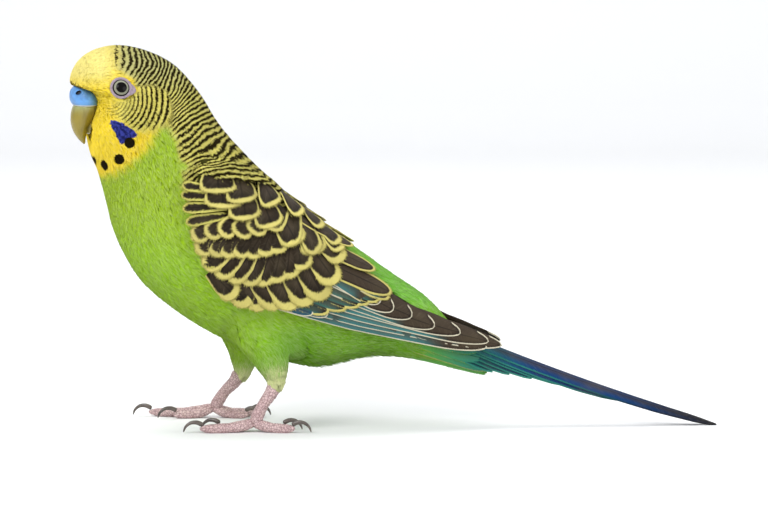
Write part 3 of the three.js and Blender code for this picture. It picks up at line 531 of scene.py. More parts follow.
def fed(tree, made, values):
    """Links or sets a node's inputs, where a colour may leave out its last value."""
    for key, value in values.items():
        if isinstance(value, bpy.types.NodeSocket):
            tree.links.new(value, made.inputs[key])
        elif made.inputs[key].type == "RGBA":
            made.inputs[key].default_value = (*value, 1)
        else:
            made.inputs[key].default_value = value
    return made


def node(tree, kind, inputs=None, **values):
    made = tree.nodes.new("ShaderNode" + kind)
    for key, value in values.items():
        setattr(made, key, value)
    return fed(tree, made, inputs or {})


def read(tree, name):
    return node(tree, "Attribute", attribute_name=name)


def maths(tree, operation, *values):
    return node(tree, "Math", dict(enumerate(values)), operation=operation).outputs[0]


def ramp(tree, value, low, high, to_low=0.0, to_high=1.0):
    ends = {"Value": value, "From Min": low, "From Max": high, "To Min": to_low, "To Max": to_high}
    return node(tree, "MapRange", ends, interpolation_type="SMOOTHSTEP").outputs["Result"]


def mix_colour(tree, first, second, share):
    return node(tree, "Mix", {0: share, 6: first, 7: second}, data_type="RGBA").outputs[2]


def own_place(tree):
    return node(tree, "TexCoord").outputs["Object"]


def noise(tree, place, scale, detail):
    return node(tree, "TexNoise", {"Vector": place, "Scale": scale, "Detail": detail}).outputs["Fac"]


def own_noise(tree, scale, detail=2.0):
    return noise(tree, own_place(tree), scale, detail)


def parts_of(tree, name):
    return node(tree, "SeparateXYZ", {"Vector": read(tree, name).outputs["Vector"]}).outputs


def wobble(tree, scale, amount, detail=2.0):
    """A noise around 0, at most amount each way."""
    return maths(tree, "MULTIPLY", maths(tree, "SUBTRACT", own_noise(tree, scale, detail), 0.5), 2 * amount)


NODE_GROUPS = {}


def shared(name, takes, gives, filled):
    """A node group that several materials use, built once from filled, which gives its outputs."""
    if name not in NODE_GROUPS:
        tree = bpy.data.node_groups.new(name, "ShaderNodeTree")
        for label, kind in takes.items():
            tree.interface.new_socket(name=label, in_out="INPUT", socket_type="NodeSocket" + kind)
        for label, kind in gives.items():
            tree.interface.new_socket(name=label, in_out="OUTPUT", socket_type="NodeSocket" + kind)
        given = tree.nodes.new("NodeGroupInput").outputs
        returned = tree.nodes.new("NodeGroupOutput").inputs
        for label, value in filled(tree, given).items():
            tree.links.new(value, returned[label])
        NODE_GROUPS[name] = tree
    return NODE_GROUPS[name]


def mottling(tree, given):
    place = own_place(tree)
    grain = noise(tree, place, maths(tree, "MULTIPLY", given["Scale"], 6.0), 4.0)
    share = ramp(tree, noise(tree, place, given["Scale"], 2.0), 0.35, 0.75)
    return {"Colour": mix_colour(tree, given["First"], given["Second"], share), "Grain": grain}


def mottled(tree, first, second, scale):
    """Two colours in soft patches, and a fine grain for a bump."""
    group = shared("mottling", {"First": "Color", "Second": "Color", "Scale": "Float"},
                   {"Colour": "Color", "Grain": "Float"}, mottling)
    placed = node(tree, "Group", node_tree=group)
    fed(tree, placed, {"First": first, "Second": second, "Scale": scale})
    return placed.outputs["Colour"], placed.outputs["Grain"]


def slow_change(tree, given):
    broad = ramp(tree, own_noise(tree, given["Scale"], 3.0), 0.4, 0.85)
    share = maths(tree, "MULTIPLY", broad, given["Amount"])
    return {"Colour": mix_colour(tree, given["Colour"], given["Towards"], share)}


def varied(tree, colour, towards, scale, amount):
    """A colour that drifts a little toward another over the whole piece."""
    takes = {"Colour": "Color", "Towards": "Color", "Scale": "Float", "Amount": "Float"}
    group = shared("slow_change", takes, {"Colour": "Color"}, slow_change)
    placed = node(tree, "Group", node_tree=group)
    fed(tree, placed, {"Colour": colour, "Towards": towards, "Scale": scale, "Amount": amount})
    return placed.outputs["Colour"]


def plumage_material():
    """Feathers of the head and body: ground colour, bars, cheek patch, throat spots, and strands with
    painted shade toward their roots and painted sheen toward their tips.
    """
    material, tree, shader = new_material("plumage")
    ground = read(tree, "ground_colour").outputs["Color"]
    bars, strand, marks = (parts_of(tree, name) for name in ("bars", "strand", "marks"))
    finer = maths(tree, "MULTIPLY", maths(tree, "SUBTRACT", 1.3, marks[2]), wobble(tree, 520.0, 0.34))
    phase = maths(tree, "ADD", maths(tree, "ADD", bars[0], finer), wobble(tree, 2300.0, 0.26))
    wave = maths(tree, "COSINE", maths(tree, "MULTIPLY", phase, FULL_TURN))
    wave = maths(tree, "ADD", maths(tree, "ADD", wave, bars[2]), wobble(tree, 800.0, 0.55, 3.0))
    dark = maths(tree, "MULTIPLY", ramp(tree, wave, -0.3, 0.25), bars[1])
    ragged = maths(tree, "ADD", wobble(tree, 1000.0, 0.75), wobble(tree, 3000.0, 0.3))
    patch = ramp(tree, maths(tree, "ADD", marks[0], ragged), -0.1, 0.1)
    spot = ramp(tree, maths(tree, "ADD", marks[1], wobble(tree, 1500.0, 0.2)), -0.1, 0.1)
    toned = varied(tree, ground, (0.25, 0.3, 0.0), 110.0, 0.18)
    # Painted shade: strands darken toward their roots, where the blades lie under one another, on top of
    # their own darker tones at random
    toned = mix_colour(tree, toned, (0, 0, 0), maths(tree, "MULTIPLY", strand[0], 0.32))
    # Painted sheen: strands lighten toward pale yellow at their tips
    toned = mix_colour(tree, toned, (1, 1, 0.7), maths(tree, "MULTIPLY", strand[1], 0.2))
    toned = mix_colour(tree, toned, tint("plumage", "bar"), dark)
    violet = tint("plumage", "patch")
    mottle = ramp(tree, own_noise(tree, 1300.0, 3.0), 0.38, 0.62)
    toned = mix_colour(tree, toned, mix_colour(tree, violet * 0.45, violet * 1.5, mottle), patch)
    surfaced(tree, shader, mix_colour(tree, toned, tint("plumage", "bar") * 0.6, spot), 0.7, 0.05)
    return material


def vane_material():
    """Large feathers: a darker vane with painted sheen toward its middle, a paler margin, ragged along its
    barbs, and a shaft.
    """
    material, tree, shader = new_material("vane")
    inner = read(tree, "vane_colour").outputs["Color"]
    outer = read(tree, "margin_colour").outputs["Color"]
    barb = parts_of(tree, "barb")
    aside = maths(tree, "ABSOLUTE", barb[2])
    flow = node(tree, "CombineXYZ", {"X": maths(tree, "MULTIPLY", barb[1], 4.2),
                                     "Y": maths(tree, "MULTIPLY", barb[2], 1.1)}).outputs["Vector"]
    streak = noise(tree, flow, 1.0, 3.0)
    rough = maths(tree, "MULTIPLY", maths(tree, "SUBTRACT", streak, 0.5), 1.5)
    inside = ramp(tree, maths(tree, "ADD", barb[0], rough), -0.24, 0.22)
    lines = maths(tree, "SINE", maths(tree, "MULTIPLY", barb[1], FULL_TURN / 0.3))
    vane = mix_colour(tree, inner, (0.5, 0.42, 0.3), ramp(tree, streak, 0.5, 0.85, 0.0, 0.12))
    # Painted sheen: the vane turns a lighter brown toward its middle, away from its margin
    vane = mix_colour(tree, vane, (0.11, 0.08, 0.05), ramp(tree, barb[0], 0.4, 2.4, 0.0, 0.25))
    vane = mix_colour(tree, vane, (0, 0, 0), ramp(tree, aside, 0.035, 0.07, 0.55, 0.0))
    edge = mix_colour(tree, outer, (0.12, 0.1, 0.04), ramp(tree, streak, 0.5, 0.2, 0.0, 0.35))
    colour = varied(tree, mix_colour(tree, edge, vane, inside), (0.1, 0.08, 0.04), 160.0, 0.25)
    colour = mix_colour(tree, colour, (0, 0, 0), ramp(tree, lines, -1.0, 1.0, 0.0, 0.14))
    surfaced(tree, shader, colour, 0.62, 0.1, (lines, 0.3, 0.0001))
    return material


def skin_material(name, colour, second, roughness, scale, bump_depth):
    """Bare skin or horn, mottled between two colours."""
    material, tree, shader = new_material(name)
    tone, fine = mottled(tree, colour, second, scale)
    surfaced(tree, shader, tone, bump=(fine, 0.5, bump_depth))
    gloss = ramp(tree, fine, 0.3, 0.7, roughness * 0.85, roughness * 1.15)
    tree.links.new(gloss, shader.inputs["Roughness"])
    return material


def leg_material():
    """Feet in small round scales with darker lines between them and painted highlights in pale patches."""
    material, tree, shader = new_material("leg_skin")
    spread = {"Vector": own_place(tree), "Scale": 1500.0}
    cells = node(tree, "TexVoronoi", spread, feature="DISTANCE_TO_EDGE")
    edge = ramp(tree, cells.outputs["Distance"], 0.0, 0.15)
    tone = mottled(tree, tint("horn", "leg"), (0.5, 0.33, 0.33), 300.0)[0]
    # Painted highlights: pale patches at random over the scales
    pale = mix_colour(tree, tone, (0.66, 0.56, 0.54), ramp(tree, own_noise(tree, 1400.0), 0.5, 0.8, 0, 0.5))
    colour = mix_colour(tree, tint("horn", "scale_line"), pale, edge)
    surfaced(tree, shader, colour, 0.5, 0.3, (edge, 0.9, 0.00012))
    return material


def bill_material():
    """Glossy horn, grey-green at the cere and olive below, with faint growth lines."""
    material, tree, shader = new_material("bill_horn")
    tone = read(tree, "tone").outputs["Fac"]
    stretched = node(tree, "Mapping", {"Vector": own_place(tree), "Scale": (900.0, 900.0, 160.0)})
    lines = noise(tree, stretched.outputs["Vector"], 1.0, 3.0)
    colour = mix_colour(tree, tint("horn", "bill"), tint("horn", "bill_root"), tone)
    colour = mix_colour(tree, colour, tint("horn", "bill") * 0.35, ramp(tree, lines, 0.45, 0.8, 0.0, 0.45))
    colour = varied(tree, colour, (0.12, 0.1, 0.03), 260.0, 0.4)
    surfaced(tree, shader, colour, 0.26, bump=(lines, 0.3, 0.00006))
    return material


def cere_material():
    """Smooth blue skin with painted shade in the nostrils and a pale lower rim."""
    material, tree, shader = new_material("cere_skin")
    blue, fine = mottled(tree, tint("horn", "cere"), tint("horn", "cere") * 0.6, 430.0)
    colour = mix_colour(tree, blue, tint("horn", "rim"), read(tree, "rim").outputs["Fac"])
    # Painted shade in the nostrils: their shallow dimples are coloured nearly black, as deep holes would
    # look
    colour = mix_colour(tree, colour, (0.01, 0.01, 0.014), read(tree, "hollow").outputs["Fac"])
    surfaced(tree, shader, colour, 0.42, bump=(fine, 0.5, 0.00005))
    return material


def eye_material():
    """A black pupil in a grey iris with a dark line round it."""
    material, tree, shader = new_material("wet_eye")
    ring = read(tree, "ring").outputs["Fac"]
    fine = own_noise(tree, 2500.0, 4.0)
    iris = mix_colour(tree, tint("horn", "iris"), tuple(tint("horn", "iris") * 0.5), fine)
    colour = mix_colour(tree, (0.004, 0.003, 0.003), iris, ramp(tree, ring, 1.36, 1.44))
    colour = mix_colour(tree, colour, (0.012, 0.01, 0.01), ramp(tree, ring, 1.84, 1.94))
    surfaced(tree, shader, colour, 0.03, 0.09)
    return material


MATERIALS = {}


def material(name):
    """A finish by name, made once."""
    makers = {"plumage": plumage_material, "vane": vane_material, "wet_eye": eye_material,
              "bill_horn": bill_material, "cere_skin": cere_material, "leg_skin": leg_material}
    bare = {"claw_horn": ("claw", 0.5, 0.3, 500, 0.00002),
            "eye_ring_skin": ("eye_ring", 0.6, 0.6, 1800, 0.00008)}
    if name in MATERIALS:
        return MATERIALS[name]
    if name in makers:
        MATERIALS[name] = makers[name]()
    else:
        key, darker, roughness, scale, depth = bare[name]
        tone = tint("horn", key)
        MATERIALS[name] = skin_material(name, tone, tone * darker, roughness, scale, depth)
    return MATERIALS[name]


# Colours and markings of the plumage

# Where colours and bars come in: from, to, in millimetres along x or up z on the side drawing
FADES = {"belly": (62, 38), "flank": (32, 22), "flank_behind": (-44, -28), "rump": (22, 34),
         "rump_behind": (-22, -4), "forehead": (87, 93), "forehead_ahead": (-70, -76), "crown": (84, 95),
         "barred_behind": (-76, -69.5), "first_bars": (-75.6, -66.0), "crown_bars": (86, 94)}
# The same across an edge, by the depth inside it, or by the way from the middle of the cheek
EDGES = {"bib": (-2.2, 1.4), "barred": (-0.9, 0.9), "cheek": (-0.25, 0.25), "patch": (-0.4, 0.1),
         "thin_edge": (2.0, 0.0), "cheek_bars": (4.0, 8.0), "cheek_middle": (1.0, 6.0)}
FAR_OUTSIDE = -9.0
WAVES = ((2.1, 1.3, 0.25), (0.9, -1.7, 0.25))
# Painted shade on the crown: its ground turns darker and bluer toward the top of the head
CROWN_PAINTED_SHADE = (0.76, 0.8, 1.35)


def markings(share, angle, mould=BODY):
    """Ground colour, bars (phase, strength, width) and how far places lie inside the cheek patch
    and the throat spots."""
    x, z = drawn(mould.at(share, np.abs(angle)))
    get = lambda key: tint("plumage", key)
    fade = lambda value, key: smooth(value, *FADES[key])
    edge = lambda value, key: smooth(value, *EDGES[key])
    waver = sum(np.sin(x * along + z * up) * much for along, up, much in WAVES)
    green = mixed(get("breast"), get("belly"), fade(z, "belly"))
    green = mixed(green, get("flank"), fade(z, "flank") * fade(x, "flank_behind"))
    green = mixed(green, get("rump"), fade(x, "rump_behind") * fade(z, "rump"))
    bib = edge(depth_inside(x, z, BIB) + waver, "bib")
    ground = mixed(green, get("face"), bib)
    ground = mixed(ground, get("forehead"), bib * fade(z, "forehead") * fade(x, "forehead_ahead"))
    in_bars = depth_inside(x, z, BARRED) + waver
    barred = edge(in_bars, "barred")
    cheek = edge(depth_inside(x, z, SEAM), "cheek")
    # The nape's ground gets painted shade toward the top of the crown
    nape = mixed(get("nape"), get("nape") * CROWN_PAINTED_SHADE, fade(z, "crown"))
    ground = mixed(ground, mixed(nape, get("cheek"), cheek), barred * fade(x, "barred_behind"))
    above = z > CHEEK["z"]
    reach = np.hypot(x - CHEEK["x"], (z - CHEEK["z"]) * np.where(above, CHEEK["rise"], 1))
    cheek_phase = np.log(CHEEK["finest"] + CHEEK["growth"] * reach) / CHEEK["growth"]
    on_cheek = cheek > 0.5
    phase = np.where(on_cheek, cheek_phase, bar_field(x, z))
    strength = barred * np.where(on_cheek, 0.6 + 0.4 * edge(reach, "cheek_bars"), 1.0)
    fading = 1 - fade(x, "first_bars")
    thinned = np.where(on_cheek, -0.15 - 0.75 * (1 - edge(reach, "cheek_middle")),
                       0.12 + 0.2 * fade(z, "crown_bars") - 1.4 * fading)
    spots = np.full(x.shape, FAR_OUTSIDE)
    for _, sx, sz, across, up, lean in THROAT_SPOTS:
        px, pz = x - sx, z - sz
        px, pz = px * math.cos(lean) + pz * math.sin(lean), pz * math.cos(lean) - px * math.sin(lean)
        spots = np.maximum(spots, (1 - np.hypot(px / across, pz / up)) * min(across, up))
    patch = depth_inside(x, z, CHEEK_PATCH)
    strength = strength * (1 - edge(patch, "patch"))
    thinned = thinned - 0.8 * edge(in_bars, "thin_edge")
    marks = np.stack([np.maximum(patch, FAR_OUTSIDE), spots, on_cheek * 1.0], -1)
    return ground, np.stack([phase, strength, thinned], -1), marks


def dressed(piece, ground, bars, marks, shade, sheen):
    """Puts the markings on a piece's points, with the darker tones and painted shade of its strands, deepest
    at their roots, and their painted sheen, brightest at their tips.
    """
    give(piece, "ground_colour", ground)
    give(piece, "bars", bars)
    give(piece, "marks", marks)
    give(piece, "strand", np.stack([shade, sheen, 0 * shade], -1))


def coat_depth(share):
    """How far the skin lies under the coat's surface."""
    deep = settings("plumage").depth / MM
    return np.interp(share, [0, 0.04, 0.2, 0.42, 0.6, 0.95, 1], [0.2, 0.3, 0.5, deep * 0.9, deep, deep, 0.6])


# Eyes
EYE = {"x": -73.0, "z": 88.9, "radius": 3.0, "sunk": 2.0}
EYE_RING = {"radius": 2.5, "thick": 0.36}


def eye_place(side):
    """Where an eye meets the head's surface, and the direction that it looks in."""
    share = np.linspace(0.05, BODY.share_of("ear"), 120)[:, None]
    angle = side * np.linspace(0.5, 2.9, 160)[None]
    shares, angles = (a.ravel() for a in np.broadcast_arrays(share, angle))
    places = BODY.at(shares, angles, with_turn=False)
    best = np.hypot(places[:, 0] - EYE["x"], places[:, 2] - EYE["z"]).argmin()
    here = BODY.at(shares[best:best + 1], angles[best:best + 1])[0]
    out = BODY.slopes(shares[best:best + 1], angles[best:best + 1])[2][0]
    if out[1] * side > 0:
        out = -out
    return here, out


EYES = {"left": eye_place(1), "right": eye_place(-1)}


def facing(out):
    """Two directions across out."""
    across = unit(np.cross(out, (0, 0, 1.0)))
    return across, np.cross(across, out)


# The coat

def random_of(name):
    """A piece's own random draws."""
    return np.random.default_rng(settings("plumage").seed + sum(map(ord, name)))


DRAWS = 420000
CELL_KEY = 4096
THIGH_ROOM = 4.5
THIGH_LAP = 1.5


def tuft_roots(rng, mould, shares, angles, spacing):
    """Roots spread evenly over a part of the body: one in each small cube that the skin crosses."""
    share = rng.uniform(*shares, DRAWS)
    angle = rng.uniform(*angles, DRAWS)
    back, round_, _ = mould.slopes(share, angle)
    patch = np.linalg.norm(np.cross(back, round_), axis=1)
    keep = rng.uniform(0, patch.max(), len(patch)) < patch
    share, angle = share[keep], angle[keep]
    places = mould.at(share, angle)
    cells = np.floor(places / spacing).astype(np.int64)
    keys = (cells[:, 0] * CELL_KEY + cells[:, 1]) * CELL_KEY + cells[:, 2]
    _, chosen = np.unique(keys, return_index=True)
    chosen.sort()
    return share[chosen], angle[chosen]


def clear_of_eyes(places, room):
    clear = np.ones(len(places), bool)
    for here, _ in EYES.values():
        clear &= np.linalg.norm(places - here, axis=1) > room
    return clear


def under_wing(share, angle, room=2.5):
    x, z = drawn(BODY.at(share, np.abs(angle)))
    return (depth_inside(x, z, WING_OUTLINE) > room) & (np.abs(angle) > 0.5) & (np.abs(angle) < 2.2)


def inside_bill(places):
    """Whether places lie inside the cere or the upper bill."""
    straight = turned(places, -HEAD_TURN)
    rows = np.array([*BILL_SECTIONS[::-1], *CERE_SECTIONS[::-1]])
    front, back, half = (np.interp(straight[:, 2], rows[:, 0], rows[:, k]) for k in (1, 2, 3))
    middle, reach = (front + back) / 2, (back - front) / 2
    near = ((straight[:, 0] - middle) / reach) ** 2 + (straight[:, 1] / half) ** 2 < 1
    return near & (straight[:, 2] > rows[0, 0]) & (straight[:, 2] < rows[-1, 0])


def thigh_axis(leg):
    return np.array([(p[0], leg["side"] * p[1], p[2]) for p in leg["thigh"]])


def along_thigh(leg, places):
    """How far down a thigh places lie, from 0 at its top to 1 at its end."""
    axis = thigh_axis(leg)
    ahead = axis[-1] - axis[0]
    return ((places - axis[0]) @ ahead) / (ahead @ ahead)


def thigh_reach(places, legs=None):
    """How far places lie outside the nearest thigh."""
    nearest = np.full(len(places), 99.0)
    for leg in legs or LEGS.values():
        axis = thigh_axis(leg)
        radii = np.array([p[3] for p in leg["thigh"]])
        for a, b, ra, rb in zip(axis, axis[1:], radii, radii[1:]):
            share = np.clip(((places - a) @ (b - a)) / ((b - a) @ (b - a)), 0, 1)
            gap = np.linalg.norm(places - a - share[:, None] * (b - a), axis=1)
            nearest = np.minimum(nearest, gap - ra - (rb - ra) * share)
    return nearest


def soften(piece, out, share=0.72):
    """Turns the shading of fine blades toward the surface that they lie on."""
    normals = mixed(taken(piece.data.vertices, "normal", 3), out, np.full(len(out), share))
    piece.data.normals_split_custom_set_from_vertices(unit(normals, 1e-6).tolist())


BLADE_FACES = np.array([[0, 1, 3], [1, 4, 3], [3, 4, 2], [0, 3, 2], [0, 4, 1], [0, 2, 4]])
# A blade's points are its root, left, right, ridge and tip: how much painted shade and how much painted
# sheen each of them gets
BLADE_POINTS = 5
PAINTED_SHADE_ALONG = (0.6, 0.12, 0.12, 0.0, 0.0)
FLANK_PAINTED_SHADE_ALONG = (0.5, 0.1, 0.1, 0, 0)
PAINTED_SHEEN_ALONG = (0, 0.1, 0.1, 0.4, 1.0)
CHART_SPREAD = 0.0015


def each(values):
    """The value of every blade for each of its points."""
    return np.repeat(values, BLADE_POINTS, 0)


def blades(roots, left, right, ridge, tips):
    """Closed pointed blades, five points each."""
    half = lambda a, b: (np.cross(a - roots, b - roots) * (tips - roots)).sum(1)
    swap = (half(left, ridge) + half(ridge, right) > 0)[:, None]
    left, right = np.where(swap, right, left), np.where(swap, left, right)
    points = np.stack([roots, left, right, ridge, tips], 1).reshape(-1, 3)
    faces = (BLADE_FACES[None] + BLADE_POINTS * np.arange(len(roots))[:, None, None]).reshape(-1, 3)
    return points, faces


def unwrap_blades(piece, rng, chart):
    """Sets the bake map of blades: each near its own place on the body's unwrap."""
    spread = rng.uniform(-CHART_SPREAD, CHART_SPREAD, (len(chart) * BLADE_POINTS, 2))
    unwrap(piece, np.clip(each(chart) + spread, 0, 1))


# Random spreads of the coat's blades: shades of tuft and blade, length, where the middle stands between
# root and tip, and breadth
SPREADS = {"tuft": (0, 0.22), "shade": (0, 0.25), "flank_shade": (0, 0.4), "length": (0.75, 1.25),
           "rise": (0.15, 0.5), "width": (0.7, 1.3), "bright": (0, 1)}
# Loose blades under the tail's root: where along x and round the body, how many, and how far they stand out
VENT = {"ahead": (-30, -20), "behind": (2, -8), "under": (2.2, 2.7), "share": 0.35, "out": (0.1, 1.2),
        "back": 0.8}


def body_coat(name, slot, shares, angles, form, mould=BODY, keep=None):
    """A coat piece on part of the body or of the folded wing's mould."""
    rng = random_of(name)
    share, angle = tuft_roots(rng, mould, shares, angles, form["spacing"])
    angle = np.mod(angle + math.pi, 2 * math.pi) - math.pi
    places = mould.at(share, angle)
    if keep is None:
        clear = ~under_wing(share, angle) & clear_of_eyes(places, form["eye_room"])
        clear &= ~inside_bill(places) & (thigh_reach(places) > THIGH_ROOM - THIGH_LAP)
    else:
        clear = keep(places)
    share, angle = share[clear], angle[clear]
    tuft = np.repeat(np.arange(len(share)), form["blades"])
    tone = rng.uniform(*SPREADS["tuft"], len(share))
    share, angle = share[tuft], angle[tuft]
    chart = chart_places(share, angle)
    many = len(share)
    drawn_at_random = lambda key: rng.uniform(*SPREADS[key], many)
    back, round_, out = mould.slopes(share, angle)
    out *= np.sign((out * (mould.at(share, angle, 1.0) - mould.at(share, angle))).sum(-1))[:, None]
    ahead = unit(back)
    aside = np.cross(out, ahead)
    lean = rng.normal(0, form["fan"], many)
    lie = ahead * np.cos(lean)[:, None] + aside * np.sin(lean)[:, None]
    length = form["length"] * drawn_at_random("length")
    jitter = ahead * rng.normal(0, 0.3, many)[:, None] + aside * rng.normal(0, 0.3, many)[:, None]
    share, angle = BODY.step_with(share, angle, back, round_, jitter * form["spacing"])
    half_share, half_angle = BODY.step_with(share, angle, back, round_, lie * (length * 0.5)[:, None])
    tip_share, tip_angle = BODY.step_with(share, angle, back, round_, lie * length[:, None])
    if mould is BODY:
        above, above_tip = 0.0, 0.0
        depth = coat_depth(share)
    else:
        above, above_tip = shoulder_height(share, angle), shoulder_height(tip_share, tip_angle)
        depth = np.full(many, 0.9)
    base = mould.at(share, angle, above - depth - 0.15)
    rise = drawn_at_random("rise")
    middle = mould.at(half_share, half_angle, (above + above_tip) / 2 - depth * rise)
    tips = mould.at(tip_share, tip_angle, above_tip + rng.normal(-0.02, form["lift"], many) - 0.1 * depth)
    vent = smooth(middle[:, 0], *VENT["ahead"]) * smooth(middle[:, 0], *VENT["behind"])
    vent = vent * smooth(np.abs(angle), *VENT["under"])
    vent = vent * (rng.uniform(0, 1, many) < VENT["share"]) * (mould is BODY)
    tips = tips + (out * rng.uniform(*VENT["out"], many)[:, None] + lie * VENT["back"]) * vent[:, None]
    wide = np.cross(out, lie) * (form["width"] * drawn_at_random("width") / 2)[:, None]
    points, faces = blades(base, middle - wide, middle + wide, middle + out * form["thick"], tips)
    piece = mesh_of(name, points, faces, material("plumage"))
    here = np.stack([share, half_share, half_share, half_share, tip_share], 1).ravel()
    there = np.stack([angle, half_angle, half_angle, half_angle, tip_angle], 1).ravel()
    colour, lines, marks = markings(here, there, mould)
    lines[:, 0] += each(rng.normal(0, 0.07, many))
    # A random darker tone for each tuft and blade, with painted shade toward each blade's root and painted
    # sheen toward its tip
    dark = each(tone[tuft] + drawn_at_random("shade"))
    bright = np.tile(PAINTED_SHEEN_ALONG, many) * each(drawn_at_random("bright"))
    dressed(piece, colour, lines, marks, np.clip(dark + np.tile(PAINTED_SHADE_ALONG, many), 0, 1), bright)
    soften(piece, each(out))
    unwrap_blades(piece, rng, chart)
    settle(piece, slot)


COAT_FORMS = {
    "face": {"spacing": 0.56, "blades": 5, "length": 1.3, "width": 0.19, "thick": 0.04, "fan": 0.3,
             "lift": 0.04, "eye_room": 2.65},
    "crown": {"spacing": 0.62, "blades": 5, "length": 1.9, "width": 0.21, "thick": 0.045, "fan": 0.2,
              "lift": 0.05, "eye_room": 2.8},
    "neck": {"spacing": 0.78, "blades": 6, "length": 2.6, "width": 0.25, "thick": 0.05, "fan": 0.18,
             "lift": 0.06, "eye_room": 2.8},
    "body": {"spacing": 0.92, "blades": 7, "length": 3.8, "width": 0.27, "thick": 0.05, "fan": 0.22,
             "lift": 0.08, "eye_room": 2.8},
    "shoulder": {"spacing": 0.8, "blades": 6, "length": 2.8, "width": 0.27, "thick": 0.05, "fan": 0.18,
                 "lift": 0.08},
}
SHOULDER_LINE = ((-57.0, 69.5), (-54.3, 68.1), (-49.0, 67.0), (-44.0, 66.2), (-38.0, 65.2), (-33.0, 64.6),
                 (-29.5, 63.2), (-26.0, 60.8), (-22.0, 58.2))


def shoulder_height(share, angle):
    """How far the shoulder's coat stands above the wing's mould, falling to the body at its edge."""
    x, z = drawn(WING.at(share, np.abs(angle)))
    return -1.9 + 2.5 * smooth(depth_inside(x, z, WING_OUTLINE), -3.5, 2.5)


def over_shoulder(places):
    """Whether places lie on the part of the wing that the shoulder's coat covers."""
    x, z = drawn(places)
    line_x, line_z = np.array(SHOULDER_LINE).T
    inside = depth_inside(x, z, WING_OUTLINE)
    return (z > np.interp(x, line_x, line_z)) & (inside > -3.0) & (x > -56) & (x < -23)


# Tufts on a thigh and its flank: turned_down, pale and free are shares along the thigh
FLANK = {"tufts_each": 2.9, "blades": 7, "length": (2.4, 3.9), "turned_down": (0.15, 0.75),
         "pale": (0.5, 0.86), "free": (0.72, 0.86), "turned_near": (3.5, -0.5), "sunk": 0.45,
         "sunk_from": (1.0, 4.2)}


def flank_coat(name, leg, skin, source):
    """Tufts over a thigh and the flank round it, lying down the thigh at its lower end."""
    rng = random_of(name)
    mesh = skin.data
    mesh.calc_loop_triangles()
    co = taken(mesh.vertices, "co", 3).astype(float) / MM
    normals = taken(mesh.vertices, "normal", 3).astype(float)
    triangles = taken(mesh.loop_triangles, "vertices", 3, np.int32)
    centres = co[triangles].mean(1)
    near = (thigh_reach(centres, [leg]) < THIGH_ROOM) & (centres[:, 1] * leg["side"] > -2)
    triangles = triangles[near]
    a, b, c = (co[triangles[:, k]] for k in range(3))
    area = np.linalg.norm(np.cross(b - a, c - a), axis=1) / 2
    count = int(area.sum() * FLANK["tufts_each"])
    pick = rng.choice(len(triangles), count, p=area / area.sum())
    weights = rng.dirichlet((1, 1, 1), count)
    places = (co[triangles[pick]] * weights[..., None]).sum(1)
    out = (normals[triangles[pick]] * weights[..., None]).sum(1)
    axis, along = thigh_axis(leg), along_thigh(leg, places)
    share, angle = source(places)
    back = unit(BODY.slopes(share, angle)[0])
    within = np.clip(along, 0.05, 0.95)
    line = unit(curve(axis, within + 0.05) - curve(axis, within - 0.05))
    gap = thigh_reach(places, [leg])
    on_thigh = smooth(along, *FLANK["turned_down"]) * smooth(gap, *FLANK["turned_near"])
    sunk = 1 - FLANK["sunk"] * smooth(gap, *FLANK["sunk_from"])
    tuft = np.repeat(np.arange(len(places)), FLANK["blades"])
    many = len(tuft)
    lie = mixed(back, line, on_thigh)[tuft]
    out, along, on_thigh = out[tuft], along[tuft], on_thigh[tuft]
    share, angle, places = share[tuft], angle[tuft], places[tuft]
    lie += np.cross(out, lie) * rng.normal(0, 0.2, many)[:, None]
    lie = unit(lie - out * (lie * out).sum(1)[:, None])
    places = places + np.cross(out, lie) * rng.normal(0, 0.3, many)[:, None]
    length = rng.uniform(*FLANK["length"], many) * np.interp(along, [0.5, 1.0], [1.0, 0.62])
    depth = np.interp(along, [0.2, 0.9], [1.0, 0.45]) * sunk[tuft]
    tree = BVHTree.FromPolygons(co.tolist(), triangles.tolist())
    low_end = smooth(along, *FLANK["free"])

    def laid(spots, height):
        near = np.array([tree.find_nearest(Vector(p))[0] for p in spots.tolist()])
        return mixed(near, spots, low_end) + out * height[:, None]

    base = places - out * 0.15
    middle = laid(places + lie * (length * 0.5)[:, None], depth * rng.uniform(0.45, 0.75, many))
    tips = laid(places + lie * length[:, None], depth * rng.normal(0.95, 0.1, many) - low_end * 0.4)
    wide = np.cross(out, lie) * rng.uniform(0.11, 0.2, many)[:, None]
    points, faces = blades(base, middle - wide, middle + wide, middle + out * 0.09, tips)
    piece = mesh_of(name, points, faces, material("plumage"))
    colour, lines, marks = markings(share, angle)
    pale = smooth(along + rng.normal(0, 0.07, many), *FLANK["pale"])
    colour = mixed(colour, tint("plumage", "shin"), pale * on_thigh)
    # A random darker tone for each blade, with painted shade toward its root and painted sheen toward its
    # tip
    dark = each(rng.uniform(*SPREADS["flank_shade"], many)) + np.tile(FLANK_PAINTED_SHADE_ALONG, many)
    bright = np.tile(PAINTED_SHEEN_ALONG, many) * each(rng.uniform(*SPREADS["bright"], many))
    dressed(piece, each(colour), each(lines), each(marks), np.clip(dark, 0, 1), bright)
    soften(piece, each(out))
    unwrap_blades(piece, rng, chart_places(0.98 * share, angle))
    settle(piece, "plumage_green")


# Tubes: legs, toes and claws

def radius_at(radii, share):
    """The radius at shares along a line, from evenly spaced radii."""
    return np.interp(share * (len(radii) - 1), np.arange(len(radii)), radii)


